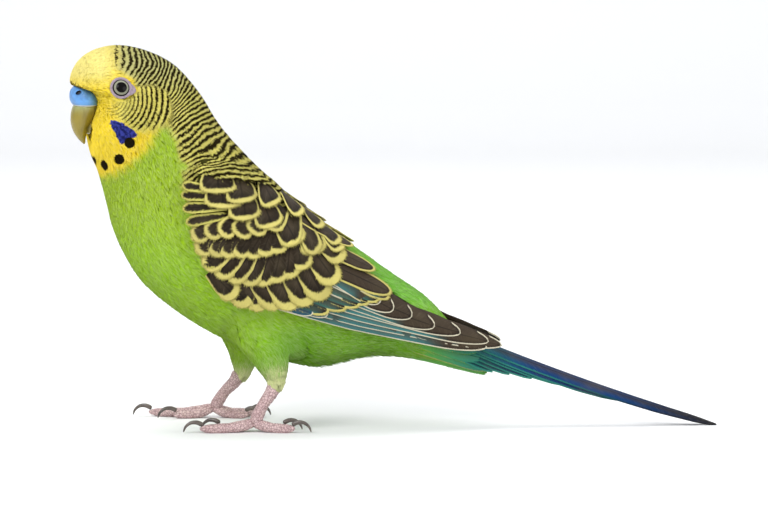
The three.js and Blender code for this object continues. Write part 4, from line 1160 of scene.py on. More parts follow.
def tube_place(places, radii, share, angle, lift=0.0):
    """Points round a line of places with radii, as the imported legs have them."""
    places = np.asarray(places, float)
    share = np.asarray(share, float)
    middle = curve(places, share)
    ahead = unit(curve(places, np.clip(share + 0.002, 0, 1)) - curve(places, np.clip(share - 0.002, 0, 1)))
    across = unit(np.array([0, 1.0, 0]) - ahead * ahead[:, 1:2])
    up = np.cross(ahead, across)
    radius = radius_at(radii, share) + lift
    return middle + across * (radius * np.cos(angle))[:, None] + up * (radius * np.sin(angle))[:, None]


LEGS = {
    "left": {"side": -1, "ankle": (-31.4, 10.8), "hub": (-36.2, 3.4), "thigh": (
        (-35.5, 8.0, 29, 9.0), (-33.8, 10.6, 23.9, 7.6), (-32.2, 11.9, 20.4, 5.7), (-31.1, 12.5, 17.4, 4.3),
        (-30.5, 12.8, 14.8, 3.1), (-30.4, 13.0, 12.6, 2.5), (-30.8, 13.0, 11.0, 1.9))},
    "right": {"side": 1, "ankle": (-41.7, 10.2), "hub": (-47.8, 3.6), "thigh": (
        (-41.5, 8.0, 28, 8.6), (-39.6, 10.6, 22.4, 7.0), (-39.4, 11.9, 18.8, 5.2), (-39.6, 12.5, 15.9, 3.7),
        (-39.7, 12.8, 13.4, 2.8), (-40.1, 13.0, 11.6, 2.3), (-41.0, 13.0, 10.2, 1.8))},
}
TOES = {
    1: {"length": {"left": 8.6, "right": 9.6}, "heading": 168, "radius": 1.1},
    2: {"length": {"left": 9.8, "right": 10.6}, "heading": 12, "radius": 1.1},
    3: {"length": {"left": 14.0, "right": 17.4}, "heading": -8, "radius": 1.3},
    4: {"length": {"left": 10.9, "right": 11.2}, "heading": -171, "radius": 1.25},
}
CLAW = ((-0.9, 2.1, 0.65), (0.7, 2.8, 0.58), (2.3, 2.7, 0.46), (3.6, 1.7, 0.34), (4.2, 0.3, 0.16))
FOOT_SIDE = 13.0
TOE_JOINTS = (1.15, 1, 1.08, 0.94, 1.04, 0.9, 0.6)
SHANK_RADII = (1.5, 1.75, 1.4, 1.75)
SCALE_HEIGHT = 0.14
SCALES = {"shank": 11, "toe": 14}


def rounded(share, sharpness=10):
    return np.sqrt(np.maximum(1 - np.abs(2 * share - 1) ** sharpness, 0))


def on_floor(points):
    points[:, 2] = np.maximum(points[:, 2], 0.0)
    return points


def scutes(share, angle, count, height):
    """Overlapping scales across the front of a toe or shank."""
    place = share * count
    step = place - np.floor(place)
    return height * (step ** 0.7) * (0.55 + 0.45 * np.sin(angle))


def scaled_tube(name, places, radii, count, around=28, along=90):
    """A toe or shank with scales across it, closed and rounded at both ends."""
    def place(share, angle):
        base, swell = radius_at(radii, share), scutes(share, angle, count, SCALE_HEIGHT)
        return on_floor(tube_place(places, radii, share, angle, (base + swell) * rounded(share) - base))

    return wrapped(name, place, around, along, material("leg_skin"))[0]


def toe_places(side, toe):
    """The direction in which a toe points, and the line that it follows over the floor."""
    leg = LEGS[side]
    length = toe["length"][side]
    heading = math.radians(toe["heading"])
    ahead = np.array([-math.cos(heading), -leg["side"] * math.sin(heading), 0])
    root = np.array([leg["hub"][0], leg["side"] * FOOT_SIDE, leg["hub"][1] - 0.9])
    rest = toe["radius"] - 0.2

    def at(share, z):
        point = root + ahead * length * share
        point[2] = z
        return point

    return ahead, [root, at(0.3, rest + 0.45), at(0.6, rest), at(1, rest + 0.1)]


# Vanes

def leaf(rows, columns):
    """A closed thin plate: shares along and across it, which face each point is on, and its faces."""
    shape = bmesh.new()
    bmesh.ops.create_grid(shape, x_segments=rows, y_segments=columns, size=1)
    bmesh.ops.solidify(shape, geom=shape.faces[:], thickness=0.5)
    bmesh.ops.recalc_face_normals(shape, faces=shape.faces)
    bmesh.ops.triangulate(shape, faces=shape.faces)
    shape.verts.ensure_lookup_table()
    raw = np.array([v.co for v in shape.verts])
    faces = np.array([[v.index for v in f.verts] for f in shape.faces])
    shape.free()
    top = raw[:, 2] > (raw[:, 2].max() + raw[:, 2].min()) / 2
    return (np.clip(raw[:, 0], -1, 1) + 1) / 2, np.clip(raw[:, 1], -1, 1), top, faces


FLIGHT = "flight"
COVERT = "covert"
# Tiers of the folded wing: name, lap, how many, kind, line of the roots, line of the tips, breadths, and the
# fringe's breadth beside the vane and at its tip
WING_TIERS = (
    ("primaries", 1, 8, FLIGHT,
     ((-34.5, 36.0), (-32.0, 36.5), (-31.0, 38.4), (-30.0, 40.6), (-29.0, 42.7), (-28.0, 44.8),
      (-27.0, 47.4), (-25.0, 49.3)),
     ((24.0, 21.2), (27.8, 21.2), (24.4, 22.5), (17.3, 24.9), (10.6, 26.8), (4.7, 29.3), (-0.2, 31.5),
      (-3.5, 33.4)), (6.0, 6.8), (0.2, 0.26)),
    ("primary_coverts", 1, 2, COVERT, ((-37.0, 38.0), (-34.0, 38.7)), ((-20.5, 31.6), (-16.9, 31.0)),
     (3.6, 4.2), (0.15, 0.3)),
    ("secondaries", 1, 6, FLIGHT, ((-38.5, 41.0), (-31.0, 43.0), (-26.0, 45.0), (-21.0, 47.0)),
     ((-16.5, 32.0), (-9.5, 33.2), (-5.5, 33.8), (-1.5, 34.5)), (5.2, 5.6), (0.3, 0.6)),
    ("tertials", 1, 3, FLIGHT, ((-27.0, 50.0), (-26.0, 53.5), (-24.5, 56.5)),
     ((-1.0, 35.6), (-5.3, 41.3), (-11.0, 47.2)), (7.0, 6.6), (0.5, 0.6)),
    ("greater_coverts", 1, 9, COVERT,
     ((-47.0, 42.5), (-43.0, 44.5), (-36.5, 46.5), (-29.0, 47.8), (-24.0, 50.0), (-20.5, 53.0)),
     ((-40.5, 35.9), (-34.6, 33.2), (-28.6, 32.9), (-22.6, 33.6), (-16.4, 36.2), (-13.2, 44.3)), (6.4, 8.0),
     (0.4, 2.0)),
    ("median_coverts", -1, 9, COVERT,
     ((-41.0, 50.4), (-37.0, 49.4), (-33.5, 48.8), (-30.5, 49.2), (-27.5, 50.2), (-25.0, 51.6),
      (-22.8, 55.0)),
     ((-48.2, 43.4), (-44.2, 41.0), (-39.4, 39.6), (-34.6, 39.3), (-29.8, 40.0), (-25.0, 41.8),
      (-21.0, 46.6)),
     (5.8, 6.6), (0.7, 1.2)),
    ("lower_lesser_coverts", -1, 8, COVERT,
     ((-43.6, 53.6), (-39.3, 53.4), (-35.6, 53.4), (-32.0, 53.8), (-29.6, 54.4), (-24.8, 57.0)),
     ((-50.0, 47.4), (-45.4, 47.2), (-41.0, 46.6), (-36.4, 46.4), (-32.0, 46.8), (-27.0, 49.0)), (5.2, 5.6),
     (0.7, 1.0)),
    ("upper_lesser_coverts", -1, 6, COVERT, ((-44.8, 56.2), (-39.4, 57.0), (-34.6, 57.2), (-28.0, 58.6)),
     ((-51.0, 51.2), (-45.4, 52.2), (-39.0, 51.8), (-32.2, 53.0)), (5.0, 5.6), (0.7, 0.9)),
    ("marginal_coverts", -1, 7, COVERT,
     ((-46.0, 63.4), (-43.6, 61.4), (-42.4, 59.2), (-42.4, 57.0), (-43.4, 54.6), (-43.8, 51.4),
      (-44.0, 48.2)),
     ((-54.2, 64.2), (-54.4, 62.0), (-53.8, 58.6), (-52.8, 55.2), (-51.4, 51.2), (-50.2, 47.6),
      (-48.2, 44.0)),
     (2.6, 3.4), (0.6, 0.3)),
    ("scapulars", 1, 6, COVERT,
     ((-19.0, 54.4), (-23.4, 55.6), (-29.0, 57.8), (-33.6, 61.4), (-38.6, 63.4), (-43.5, 65.5)),
     ((-13.4, 47.0), (-19.0, 46.8), (-24.8, 49.1), (-31.1, 53.4), (-37.9, 55.4), (-43.8, 58.6)), (8.4, 9.6),
     (0.6, 1.1)),
    ("upper_scapulars", 1, 6, COVERT,
     ((-19.5, 54.8), (-24.0, 59.0), (-28.5, 62.4), (-33.5, 65.4), (-39.5, 67.0), (-45.0, 69.0)),
     ((-14.2, 48.6), (-18.6, 52.6), (-24.0, 56.0), (-30.8, 58.8), (-38.7, 59.5), (-44.8, 62.4)), (7.8, 9.4),
     (0.6, 1.1)),
)
WING_LIFT = (-1.0, 0.4)
WING_TILT = 0.3
# The wing's core: share along the wing's mould, angles of its lower and upper edge, thickness
WING_CORE = ((0.12, 0.62, 1.1, 3.0), (0.2, 0.56, 1.4, 4.2), (0.3, 0.5, 1.58, 4.6), (0.42, 0.46, 1.6, 4.6),
             (0.52, 0.48, 1.46, 3.6), (0.62, 0.52, 1.28, 2.4), (0.72, 0.5, 1.12, 1.6),
             (0.8, 0.42, 0.92, 1.1))


def profile(kind, share):
    """Half breadth of a vane along it, as a share of its widest."""
    share = np.clip(share, 0, 1)
    if kind == COVERT:
        side = np.interp(share, [0, 0.5, 1], [0.7, 1.0, 1.0])
        return side * np.sqrt(np.clip(1 - np.clip((share - 0.68) / 0.32, 0, 1) ** 2.4, 0.0, 1))
    side = np.interp(share, [0, 0.4, 0.8, 1], [0.72, 1.0, 0.9, 0.75])
    return side * np.sqrt(np.clip(1 - np.clip((share - 0.8) / 0.2, 0, 1) ** 2.2, 0.0, 1))


class Vane:
    """A feather lying on a mould's left side, from a root to a tip on the side drawing."""

    def __init__(self, mould, root, tip, breadth, kind, lap, inner=1.0):
        self.mould, self.kind, self.lap, self.breadth, self.inner = mould, kind, lap, breadth, inner
        self.root, self.tip = np.array(root), np.array(tip)
        self.length = np.linalg.norm(self.tip - self.root)

    def half(self, share):
        return profile(self.kind, share) * self.breadth / 2

    def lay(self, share, aside, lift):
        """Places at shares along the feather and millimetres aside of its shaft."""
        x, z = (self.root[i] + (self.tip[i] - self.root[i]) * share for i in (0, 1))
        spot, angle = self.mould.side(x, z)
        back, round_, out = self.mould.slopes(spot, angle)
        out *= np.sign(-out[:, 1:2])
        line = np.array([self.tip[0] - self.root[0], 0, self.tip[1] - self.root[1]]) / self.length
        side = unit(np.cross(out, line))
        spot, angle = self.mould.step_with(spot, angle, back, round_, side * aside[:, None])
        across = np.clip(aside / (self.breadth / 2), -1.3, 1.3)
        stack = WING_LIFT[0] + (WING_LIFT[1] - WING_LIFT[0]) * np.clip(share, 0, 1.1)
        return self.mould.at(spot, angle, stack - self.lap * across * WING_TILT + lift)

    def sheet(self, template, thickness):
        """The feather's plate, with each point's share along it and place across it."""
        along, across, top, _ = template
        share = 1 - (1 - along) ** 1.6
        arch = 0.12 * (1 - np.abs(across)) if self.kind == FLIGHT else 0.1 * (1 - across ** 2)
        taper = np.where(np.abs(across) > 0.9, 0.3, 1.0)
        half = self.half(share)
        aside = across * half * np.where(across > 0, self.inner, 1.0)
        return self.lay(share, aside, arch - np.where(top, 0, thickness * taper)), share, half

    def barbs(self, share, aside):
        """The line of a barb through places on the feather, in millimetres from its root."""
        return share * self.length - np.abs(aside) * 0.9

    def fringe_blades(self, rng, gap, fringe):
        """Fine blades that stand out round the feather's end: points, faces and barb lines."""
        shares = 1 - (1 - np.linspace(0.45, 1, 400)) ** 2
        outline = np.concatenate([np.stack([shares * self.length, side * self.half(shares)], -1)[::side]
                                  for side in (1, -1)])
        steps = np.linalg.norm(np.diff(outline, axis=0), axis=1)
        travel = np.concatenate([[0], np.cumsum(steps)])
        stops = np.arange(gap / 2, travel[-1], gap)
        stops = stops + rng.uniform(-0.3, 0.3, len(stops)) * gap
        spots = np.stack([np.interp(stops, travel, outline[:, i]) for i in (0, 1)], -1)
        outward = np.sign(spots[:, 1]) * np.clip(np.abs(spots[:, 1]) / (self.breadth / 2), 0, 1) ** 1.5
        lie = unit(np.stack([np.ones(len(spots)), outward * 0.9 + rng.normal(0, 0.12, len(spots))], -1))
        inset = np.interp(spots[:, 0] / self.length, FRINGE_SHARES, fringe)[:, None]
        long = (0.14 + 0.42 * inset.clip(0, 1)) * rng.uniform(0.3, 1.6, len(spots))[:, None]
        turn = np.stack([-lie[:, 1], lie[:, 0]], -1) * rng.uniform(0.06, 0.11, len(spots))[:, None]
        ends = (spots - lie * (0.1 + 0.6 * inset), spots - turn, spots + turn, spots, spots + lie * long)
        lifts = (-0.15, 0.02, 0.02, 0.1, rng.uniform(-0.05, 0.12, len(spots)))
        laid = [self.lay(p[:, 0] / self.length, p[:, 1], lift) for p, lift in zip(ends, lifts)]
        points, faces = blades(*laid)
        return points, faces, each(self.barbs(spots[:, 0] / self.length, spots[:, 1]))


# Where along a vane its fringe begins to widen and where it is widest, and what sets feathers' barbs apart
FRINGE_SHARES = (0.55, 0.95)
BARB_STEP = 37.7
INSIDE_FRINGE = -2.0


class Feathers:
    """Gathers the points, colours and faces of many feathers into one piece."""

    def __init__(self):
        self.parts = []

    def add(self, points, faces, vane, margin, inset, line, across, chart):
        """Adds a feather: colours of vane and margin, depth inside the margin, barb line, place across."""
        full = lambda value: np.broadcast_to(value, (len(points), 3))
        barb = np.stack(np.broadcast_arrays(inset, line + len(self.parts) * BARB_STEP, across), -1)
        self.parts.append((points, faces, full(vane), full(margin), barb, chart))

    def piece(self, name, mirrored, slot, *nodes):
        sizes = np.cumsum([0] + [len(part[0]) for part in self.parts])
        faces = np.vstack([part[1] + start for part, start in zip(self.parts, sizes)])
        rows = lambda index: np.vstack([part[index] for part in self.parts])
        points, vane, margin, barb, chart = (rows(index) for index in (0, 2, 3, 4, 5))
        if mirrored:
            points = points * (1, -1, 1)
            faces = faces[:, ::-1]
        piece = mesh_of(name, points, faces, material("vane"))
        give(piece, "vane_colour", vane)
        give(piece, "margin_colour", margin)
        give(piece, "barb", barb)
        unwrap(piece, chart)
        settle(piece, slot, *nodes)


def vane_chart(index, count, share, across):
    """Places on the unwrap for one of count vanes, each in a strip of its own."""
    return np.stack([(index + 0.05 + share * 0.9) / count, 0.5 + across * 0.45], -1)


def fringe_chart(rng, index, count, points):
    """Places on the unwrap for a vane's fringe, gathered at the end of its strip."""
    return np.tile([(index + 0.9) / count, 0.5], (points, 1)) + rng.uniform(-0.01, 0.01, (points, 2))


def flight_colours(name, across, share, rng):
    """Colours of a flight feather: blue-green outer web with painted shadow toward the shaft, brown inner
    web and end.
    """
    get = lambda key: tint("wing", key)
    brown = get("brown") * rng.uniform(0.85, 1.1)
    if name == "tertials":
        return brown, get("fringe")
    web = get("web") * rng.uniform(0.85, 1.15)
    # Painted shadow: the outer web darkens toward the shaft, where the next feather lies over it
    web = web * mixed(1.0, 0.4, smooth(across, -0.85, -0.3))
    if name == "secondaries":
        tone = mixed(get("fringe"), get("pale"), smooth(share, 0.9, 0.6))
        return mixed(brown, web * (0.8, 0.75, 0.62), smooth(share, 0.97, 0.85)), tone
    outer = smooth(across, 0.15, -0.05) * smooth(share, 0.82, 0.7)
    return mixed(brown, web, outer), get("pale")


def wing_tier(side, name, lap, count, kind, roots, tips, breadth, fringe):
    """One tier of a folded wing's feathers as a piece."""
    rng = np.random.default_rng(sum(map(ord, name)))
    template = leaf(18, 10)
    thickness = settings("wing").thickness / MM
    get = lambda key: tint("wing", key)
    gathered = Feathers()
    for index, place in enumerate(np.linspace(0, 1, count)):
        shift = rng.normal(0, 0.12, 2)
        root, tip = curve(roots, [place])[0], curve(tips, [place])[0] + shift
        broad = (breadth[0] + (breadth[1] - breadth[0]) * place) * rng.uniform(0.95, 1.05)
        vane = Vane(WING, root, tip, broad, kind, lap, 1.5 if name == "primaries" else 1.0)
        points, share, half = vane.sheet(template, thickness)
        across = template[1]
        beside = (1 - np.abs(across)) * half + 0.001
        ahead = (1 - share) * vane.length * 0.9 + 0.001
        edge = (beside ** -2.6 + ahead ** -2.6) ** (-1 / 2.6)
        inset = edge - np.interp(share, FRINGE_SHARES, fringe)
        if kind == FLIGHT:
            colour, margin = flight_colours(name, across, share, rng)
            inset = 3 * inset
        else:
            colour, margin = get("centre") * rng.uniform(0.85, 1.1), get("fringe")
        if name == "primaries":
            inset = np.where((across > 0) & (share < 0.93), 3.0, inset - 0.12)
        if name == "primary_coverts":
            colour, margin, inset = get("web") * (0.3, 0.45, 0.7), get("pale"), 3 * inset
        if name == "marginal_coverts":
            margin = margin * (0.95, 1.0, 0.8)
        chart = vane_chart(index, count, share, across)
        line = vane.barbs(share, across * half)
        rim = margin * rng.uniform(0.92, 1.08)
        gathered.add(points, template[3], colour, rim, inset, line, across, chart)
        if name in ("primaries", "primary_coverts"):
            continue
        spikes, faces, line = vane.fringe_blades(rng, 0.18 if kind == COVERT else 0.3, fringe)
        shade = each(rng.uniform(0.75, 1.1, len(spikes) // BLADE_POINTS))[:, None]
        chart = fringe_chart(rng, index, count, len(spikes))
        tone = get("fringe") if margin.ndim > 1 else margin
        gathered.add(spikes, faces, tone, tone * shade, INSIDE_FRINGE, line, 0.5, chart)
    gathered.piece(f"{name}_{side}", side == "right", "wing_feathers", "wing_" + side)


def wing_core(side):
    """The closed body of a folded wing under its vanes."""
    core = np.array(WING_CORE)

    def place(share, angle):
        row = curve(core, share)
        across, up = np.cos(angle), np.sin(angle)
        close = rounded(share, 6)
        middle = (row[:, 1] + row[:, 2]) / 2
        spread = (row[:, 2] - row[:, 1]) / 2 * 0.92
        lift = -0.9 - row[:, 3] / 2 * (1 - up * close)
        points = WING.at(row[:, 0], middle + spread * across * close, lift)
        return points if side == "left" else points * (1, -1, 1)

    piece, share, _ = wrapped("wing_core_" + side, place, 40, 40, material("plumage"))
    count = len(share)
    dressed(piece, np.tile(tint("wing", "centre"), (count, 1)), np.zeros((count, 3)),
            np.tile((FAR_OUTSIDE, FAR_OUTSIDE, 0.0), (count, 1)), np.zeros(count), np.zeros(count))
    settle(piece, "wing_feathers", "wing_" + side)


# Long feathers over the tail's root, drawn on the body's mould: root, tip, breadth
ROOT_COVERTS = (((-6.0, 30.5), (25.0, 18.6), 5.6), ((-4.0, 27.5), (24.8, 17.0), 5.2),
                ((-4.5, 24.8), (24.6, 15.2), 4.6), ((-9.0, 21.8), (23.8, 13.9), 3.6))


def root_coverts(side):
    """Green feathers laid over the tail's root on one side."""
    rng = np.random.default_rng(53)
    template = leaf(22, 10)
    gathered = Feathers()
    count = len(ROOT_COVERTS)
    green, teal = tint("tail", "covert"), tint("tail", "teal")
    for index, (root, tip, breadth) in enumerate(ROOT_COVERTS):
        vane = Vane(BODY, root, tip, breadth, FLIGHT, 1)
        points, share, half = vane.sheet(template, 0.3)
        across = template[1]
        colour = mixed(green, teal, smooth(share, 0.35, 0.95) * (index < 3))
        line = vane.barbs(share, across * half)
        inset = np.where(across < 0, (1 - np.abs(across)) * half - 0.22 * (index == 2), 1.0)
        chart = vane_chart(index, count, share, across)
        gathered.add(points, template[3], colour, tint("wing", "fringe") * 0.9, inset, line, across, chart)
        spikes, faces, line = vane.fringe_blades(rng, 0.3, (0.6, 1.0))
        chart = fringe_chart(rng, index, count, len(spikes))
        rim = mixed(green, teal, 0.4 * (index < 3))
        gathered.add(spikes, faces, green, rim, INSIDE_FRINGE, line, 0.5, chart)
    gathered.piece("root_coverts_" + side, side == "right", "plumage_green")


# The tail lies on a roof of two slopes: its ridge rises from the tip forward

TAIL = {"root": 6, "tip": 84.2, "height": 0.75, "slope": 0.3, "bend": 0.00085, "thickness": 0.6, "step": 0.3,
        "edge": 0.22}
ROOF = {"across": 0.69, "down": 0.72, "round": 0.5}
# Half the breadth of a tail vane at shares along it, as a share of its widest
TAIL_TAPER = ((0, 0.35, 0.6, 0.8, 0.93, 1), (0.8, 1, 0.97, 0.75, 0.42, 0.1))
# Pairs from the middle out: tip along x, way down the roof at root and at tip, half the breadth
TAIL_PAIRS = ((84.2, 1.7, 1.5, 2.5), (58.0, 2.5, 3.4, 2.5), (43.6, 2.8, 4.7, 2.2), (35.8, 3.4, 6.0, 2.2),
              (30.0, 4.0, 7.2, 2.2), (25.6, 4.6, 8.3, 2.1))


def on_roof(x, arc, side, lift):
    """Places on the tail's roof, arc millimetres down one slope from its ridge."""
    back = TAIL["tip"] - x
    ridge = TAIL["height"] + TAIL["slope"] * back + TAIL["bend"] * back ** 2
    down = np.hypot(arc * ROOF["down"], ROOF["round"]) - ROOF["round"]
    y = side * (arc * ROOF["across"] + lift * ROOF["down"])
    return np.stack([x, y, ridge - down + lift * ROOF["across"]], -1)


def tail_feathers():
    """The tail's twelve long tapering vanes, the middle pair longest."""
    template = leaf(34, 8)
    along, across, top, base_faces = template
    gathered = Feathers()
    rng = np.random.default_rng(17)
    for index, (tip, arc_root, arc_tip, half) in enumerate(TAIL_PAIRS):
        for side in (-1, 1):
            eased = 1 - (1 - along) ** 1.5
            x = TAIL["root"] + (tip - TAIL["root"]) * eased
            arc = arc_root + (arc_tip - arc_root) * eased
            broad = half * np.interp(eased, *TAIL_TAPER)
            place = np.maximum(arc + across * broad, -0.2)
            lift = -TAIL["step"] * index - np.where(top, 0, TAIL["thickness"] * 0.6)
            lift = lift + 0.08 * (1 - np.abs(across))
            spots = on_floor(on_roof(x, place, side, lift))
            vane = mixed(tint("tail", "blue"), tint("tail", "teal"), smooth(x, 38, 4))
            dark_end = smooth(x, tip - 30, tip - 2) * (0.95 if index == 0 else 0.6)
            vane = mixed(vane, tint("tail", "tip"), dark_end)
            vane = vane * np.where(across > 0.3, 1.15, 0.72)[:, None] * rng.uniform(0.9, 1.1)
            margin = mixed(vane * 0.5, tint("tail", "teal") * 1.5, 0.75 * smooth(x, 66, 34) * (across > 0))
            edge = np.minimum((1 - np.abs(across)) * broad, tip - x)
            line = eased * (tip - TAIL["root"]) - np.abs(across) * broad
            chart = vane_chart(2 * index + (side > 0), 2 * len(TAIL_PAIRS), eased, across)
            faces = base_faces[:, ::-1] if side < 0 else base_faces
            gathered.add(spots, faces, vane, margin, edge - TAIL["edge"], line, across, chart)
    gathered.piece("tail_feathers", False, "tail_feathers", "tail")


# Bill and cere: height, front, back, half breadth
CERE_SECTIONS = ((89.4, -82.4, -80.8, 1.2), (88.5, -83.6, -79.0, 3.7), (86.9, -84.2, -77.3, 5.1),
                 (85.3, -84.1, -76.8, 5.5), (84.0, -83.6, -76.8, 5.2), (83.3, -83.2, -77.0, 4.7))
BILL_SECTIONS = ((84.3, -83.0, -77.2, 4.3), (83.4, -83.5, -77.0, 4.5), (82.0, -83.9, -77.2, 4.2),
                 (79.6, -84.0, -78.4, 3.5), (77.2, -83.4, -79.7, 2.6), (75.4, -82.3, -80.2, 1.6),
                 (73.8, -80.9, -80.2, 0.4))
LOWER_BILL_SECTIONS = ((80.6, -79.6, -75.8, 2.9), (78.8, -80.4, -76.2, 2.7), (77.2, -80.2, -77.4, 1.9),
                       (76.4, -79.8, -78.4, 0.9))
NOSTRIL = {"x": -82.6, "z": 87.35, "long": 0.8, "short": 0.46, "lean": -0.6, "depth": 0.8}


def nostril_hollow(points):
    """How deep in a nostril places of the cere lie, from 0 to 1, and how near its swollen rim."""
    x, z = points[:, 0] - NOSTRIL["x"], points[:, 2] - NOSTRIL["z"]
    cos, sin = math.cos(NOSTRIL["lean"]), math.sin(NOSTRIL["lean"])
    away = np.hypot((x * cos - z * sin) / NOSTRIL["long"], (x * sin + z * cos) / NOSTRIL["short"])
    away = np.where(np.abs(points[:, 1]) > 1.5, away, 9.0)
    return smooth(away, 1.1, 0.75), smooth(away, 2.2, 1.3) * smooth(away, 0.8, 1.2)


def stacked(sections, sharpness, straight=False):
    """A place function through level sections, closed at top and bottom."""
    sections = np.array(sections)

    def place(share, angle):
        row = curve(sections, share)
        close = rounded(share, sharpness)
        middle = (row[:, 1] + row[:, 2]) / 2
        reach = (row[:, 2] - row[:, 1]) / 2 * close
        x = middle - reach * np.cos(angle)
        y = -row[:, 3] * close * np.sin(angle)
        points = np.stack([x, y, row[:, 0]], -1)
        return points if straight else turned(points, HEAD_TURN)

    return place


def body_source():
    """A lookup of the share and angle on the body nearest to places."""
    shares, angles = np.linspace(0, 1, 260), np.linspace(-math.pi, math.pi, 181)[:-1]
    share, angle = (grid.ravel() for grid in np.meshgrid(shares, angles, indexing="ij"))
    spots = BODY.at(share, angle, -1.0)
    tree = KDTree(len(spots))
    for index, spot in enumerate(spots.tolist()):
        tree.insert(spot, index)
    tree.balance()

    def source(places):
        found = np.array([tree.find(p)[1] for p in places.tolist()])
        return share[found], angle[found]

    return source


# How the skin is evened: near a thigh, high along it, how much each time, and how many times
MELT = {"near": (7.0, 2.5), "along": (0.75, 0.45), "share": 0.5, "rounds": 110}
THIGH_DROPS = (1.8, 1.2, 0.8, 0.6, 0.6, 0.6, 0.6)
SKIN_VOXEL = 0.6


def melted(mesh, places):
    """Places of the skin with the hollows round the tops of the thighs evened out."""
    edges = taken(mesh.edges, "vertices", 2, np.int32)
    first, second = edges.T
    share = np.zeros(len(places))
    for leg in LEGS.values():
        high = smooth(along_thigh(leg, places), *MELT["along"])
        near = smooth(thigh_reach(places, [leg]), *MELT["near"]) * high
        share = np.maximum(share, near * (places[:, 1] * leg["side"] > 0))
    share = share[:, None] * MELT["share"]
    count = np.bincount(edges.ravel(), minlength=len(places))[:, None]
    for _ in range(MELT["rounds"]):
        total = np.zeros_like(places)
        for axis in range(3):
            total[:, axis] = (np.bincount(first, places[second, axis], len(places))
                              + np.bincount(second, places[first, axis], len(places)))
        places = places + (total / count - places) * share
    return places


# Operators

class BUDGERIGAR_OT_skin(bpy.types.Operator):
    """Makes the skin under the coat, over head, neck, body and thighs"""

    bl_idname = "budgerigar.skin"
    bl_label = "Skin"

    def execute(self, context):
        def body_place(share, angle):
            centre = BODY.at(share, 0 * angle) * 0.5 + BODY.at(share, 0 * angle + math.pi) * 0.5
            spots = BODY.at(share, angle, -coat_depth(share))
            ends = (share < 1e-6) | (share > 1 - 1e-6)
            return np.where(ends[:, None], centre, spots)

        piece = wrapped("skin", body_place, 128, 220, material("plumage"))[0]
        thighs = []
        for name, leg in LEGS.items():
            axis = thigh_axis(leg)
            radii = [p[3] - drop for p, drop in zip(leg["thigh"], THIGH_DROPS)]

            def thigh_place(share, angle, axis=axis, radii=radii):
                base = radius_at(radii, share)
                return tube_place(axis, radii, share, angle, base * rounded(share) - base)

            thighs.append(wrapped("thigh_skin_" + name, thigh_place, 40, 40, material("plumage"))[0])
        piece = joined("skin", [piece, *thighs])
        whole = piece.modifiers.new("whole", "REMESH")
        whole.mode = "VOXEL"
        whole.voxel_size = SKIN_VOXEL * MM
        evened = piece.modifiers.new("evened", "SMOOTH")
        evened.factor = 0.6
        evened.iterations = 5
        mesh = bpy.data.meshes.new_from_object(piece.evaluated_get(context.evaluated_depsgraph_get()))
        piece.modifiers.clear()
        old = piece.data
        piece.data = mesh
        bpy.data.meshes.remove(old)
        mesh.name = "skin"
        mesh.shade_smooth()
        places = melted(mesh, taken(mesh.vertices, "co", 3).astype(float) / MM)
        mesh.vertices.foreach_set("co", (places * MM).astype(np.float32).ravel())
        mesh.update()
        share, angle = body_source()(places)
        ground, bars, marks = markings(share, angle)
        down = np.zeros(len(places))
        for leg in LEGS.values():
            low = smooth(along_thigh(leg, places), 0.6, 0.92)
            down = np.maximum(down, low * (thigh_reach(places, [leg]) < 1))
        ground = mixed(ground, tint("plumage", "shin"), down)
        # The skin gets a little painted shade, as it lies under the coat
        dressed(piece, ground, bars, marks, np.full(len(places), 0.15), np.zeros(len(places)))
        unwrap(piece, chart_places(share, angle))
        settle(piece, "plumage_green", "head", "neck", "torso", "rump", "thigh_left", "thigh_right")
        return {"FINISHED"}


class BUDGERIGAR_OT_coat(bpy.types.Operator):
    """Lays the small feathers over head, neck, body and thighs"""

    bl_idname = "budgerigar.coat"
    bl_label = "Coat"

    def execute(self, context):
        whole = (-math.pi, math.pi)
        places = ("lores", "nape", "shoulder", "back", "rump")
        lores, nape, shoulder, back, rump = (BODY.share_of(place) for place in places)
        forms = COAT_FORMS
        body_coat("coat_face", "plumage_face", (0.0, lores), whole, forms["face"])
        body_coat("coat_crown", "plumage_barred", (lores, nape), (-1.5, 1.5), forms["crown"])
        body_coat("coat_throat", "plumage_face", (lores, nape), (1.5, 2 * math.pi - 1.5), forms["crown"])
        body_coat("coat_neck", "plumage_barred", (nape, shoulder), whole, forms["neck"])
        body_coat("coat_breast", "plumage_green", (shoulder, back), whole, forms["body"])
        body_coat("coat_belly", "plumage_green", (back, rump), whole, forms["body"])
        body_coat("coat_rump", "plumage_green", (rump, 0.985), whole, forms["body"])
        ends = (WING.share_of("front"), WING.share_of("tertials"))
        for name, angles in (("left", (0.15, 1.9)), ("right", (-1.9, -0.15))):
            body_coat("coat_shoulder_" + name, "plumage_barred", ends, angles, forms["shoulder"], WING,
                      over_shoulder)
        skin, source = bpy.data.objects["skin"], body_source()
        for side, leg in LEGS.items():
            flank_coat("coat_thigh_" + side, leg, skin, source)
        return {"FINISHED"}


class BUDGERIGAR_OT_wings(bpy.types.Operator):
    """Folds the wings: their cores and every tier of vanes"""

    bl_idname = "budgerigar.wings"
    bl_label = "Wings"

    def execute(self, context):
        for side in ("left", "right"):
            wing_core(side)
            for tier in WING_TIERS:
                wing_tier(side, *tier)
        return {"FINISHED"}


class BUDGERIGAR_OT_tail(bpy.types.Operator):
    """Lays the tail's twelve long vanes"""

    bl_idname = "budgerigar.tail"
    bl_label = "Tail"

    def execute(self, context):
        tail_feathers()
        root_coverts("left")
        root_coverts("right")
        return {"FINISHED"}


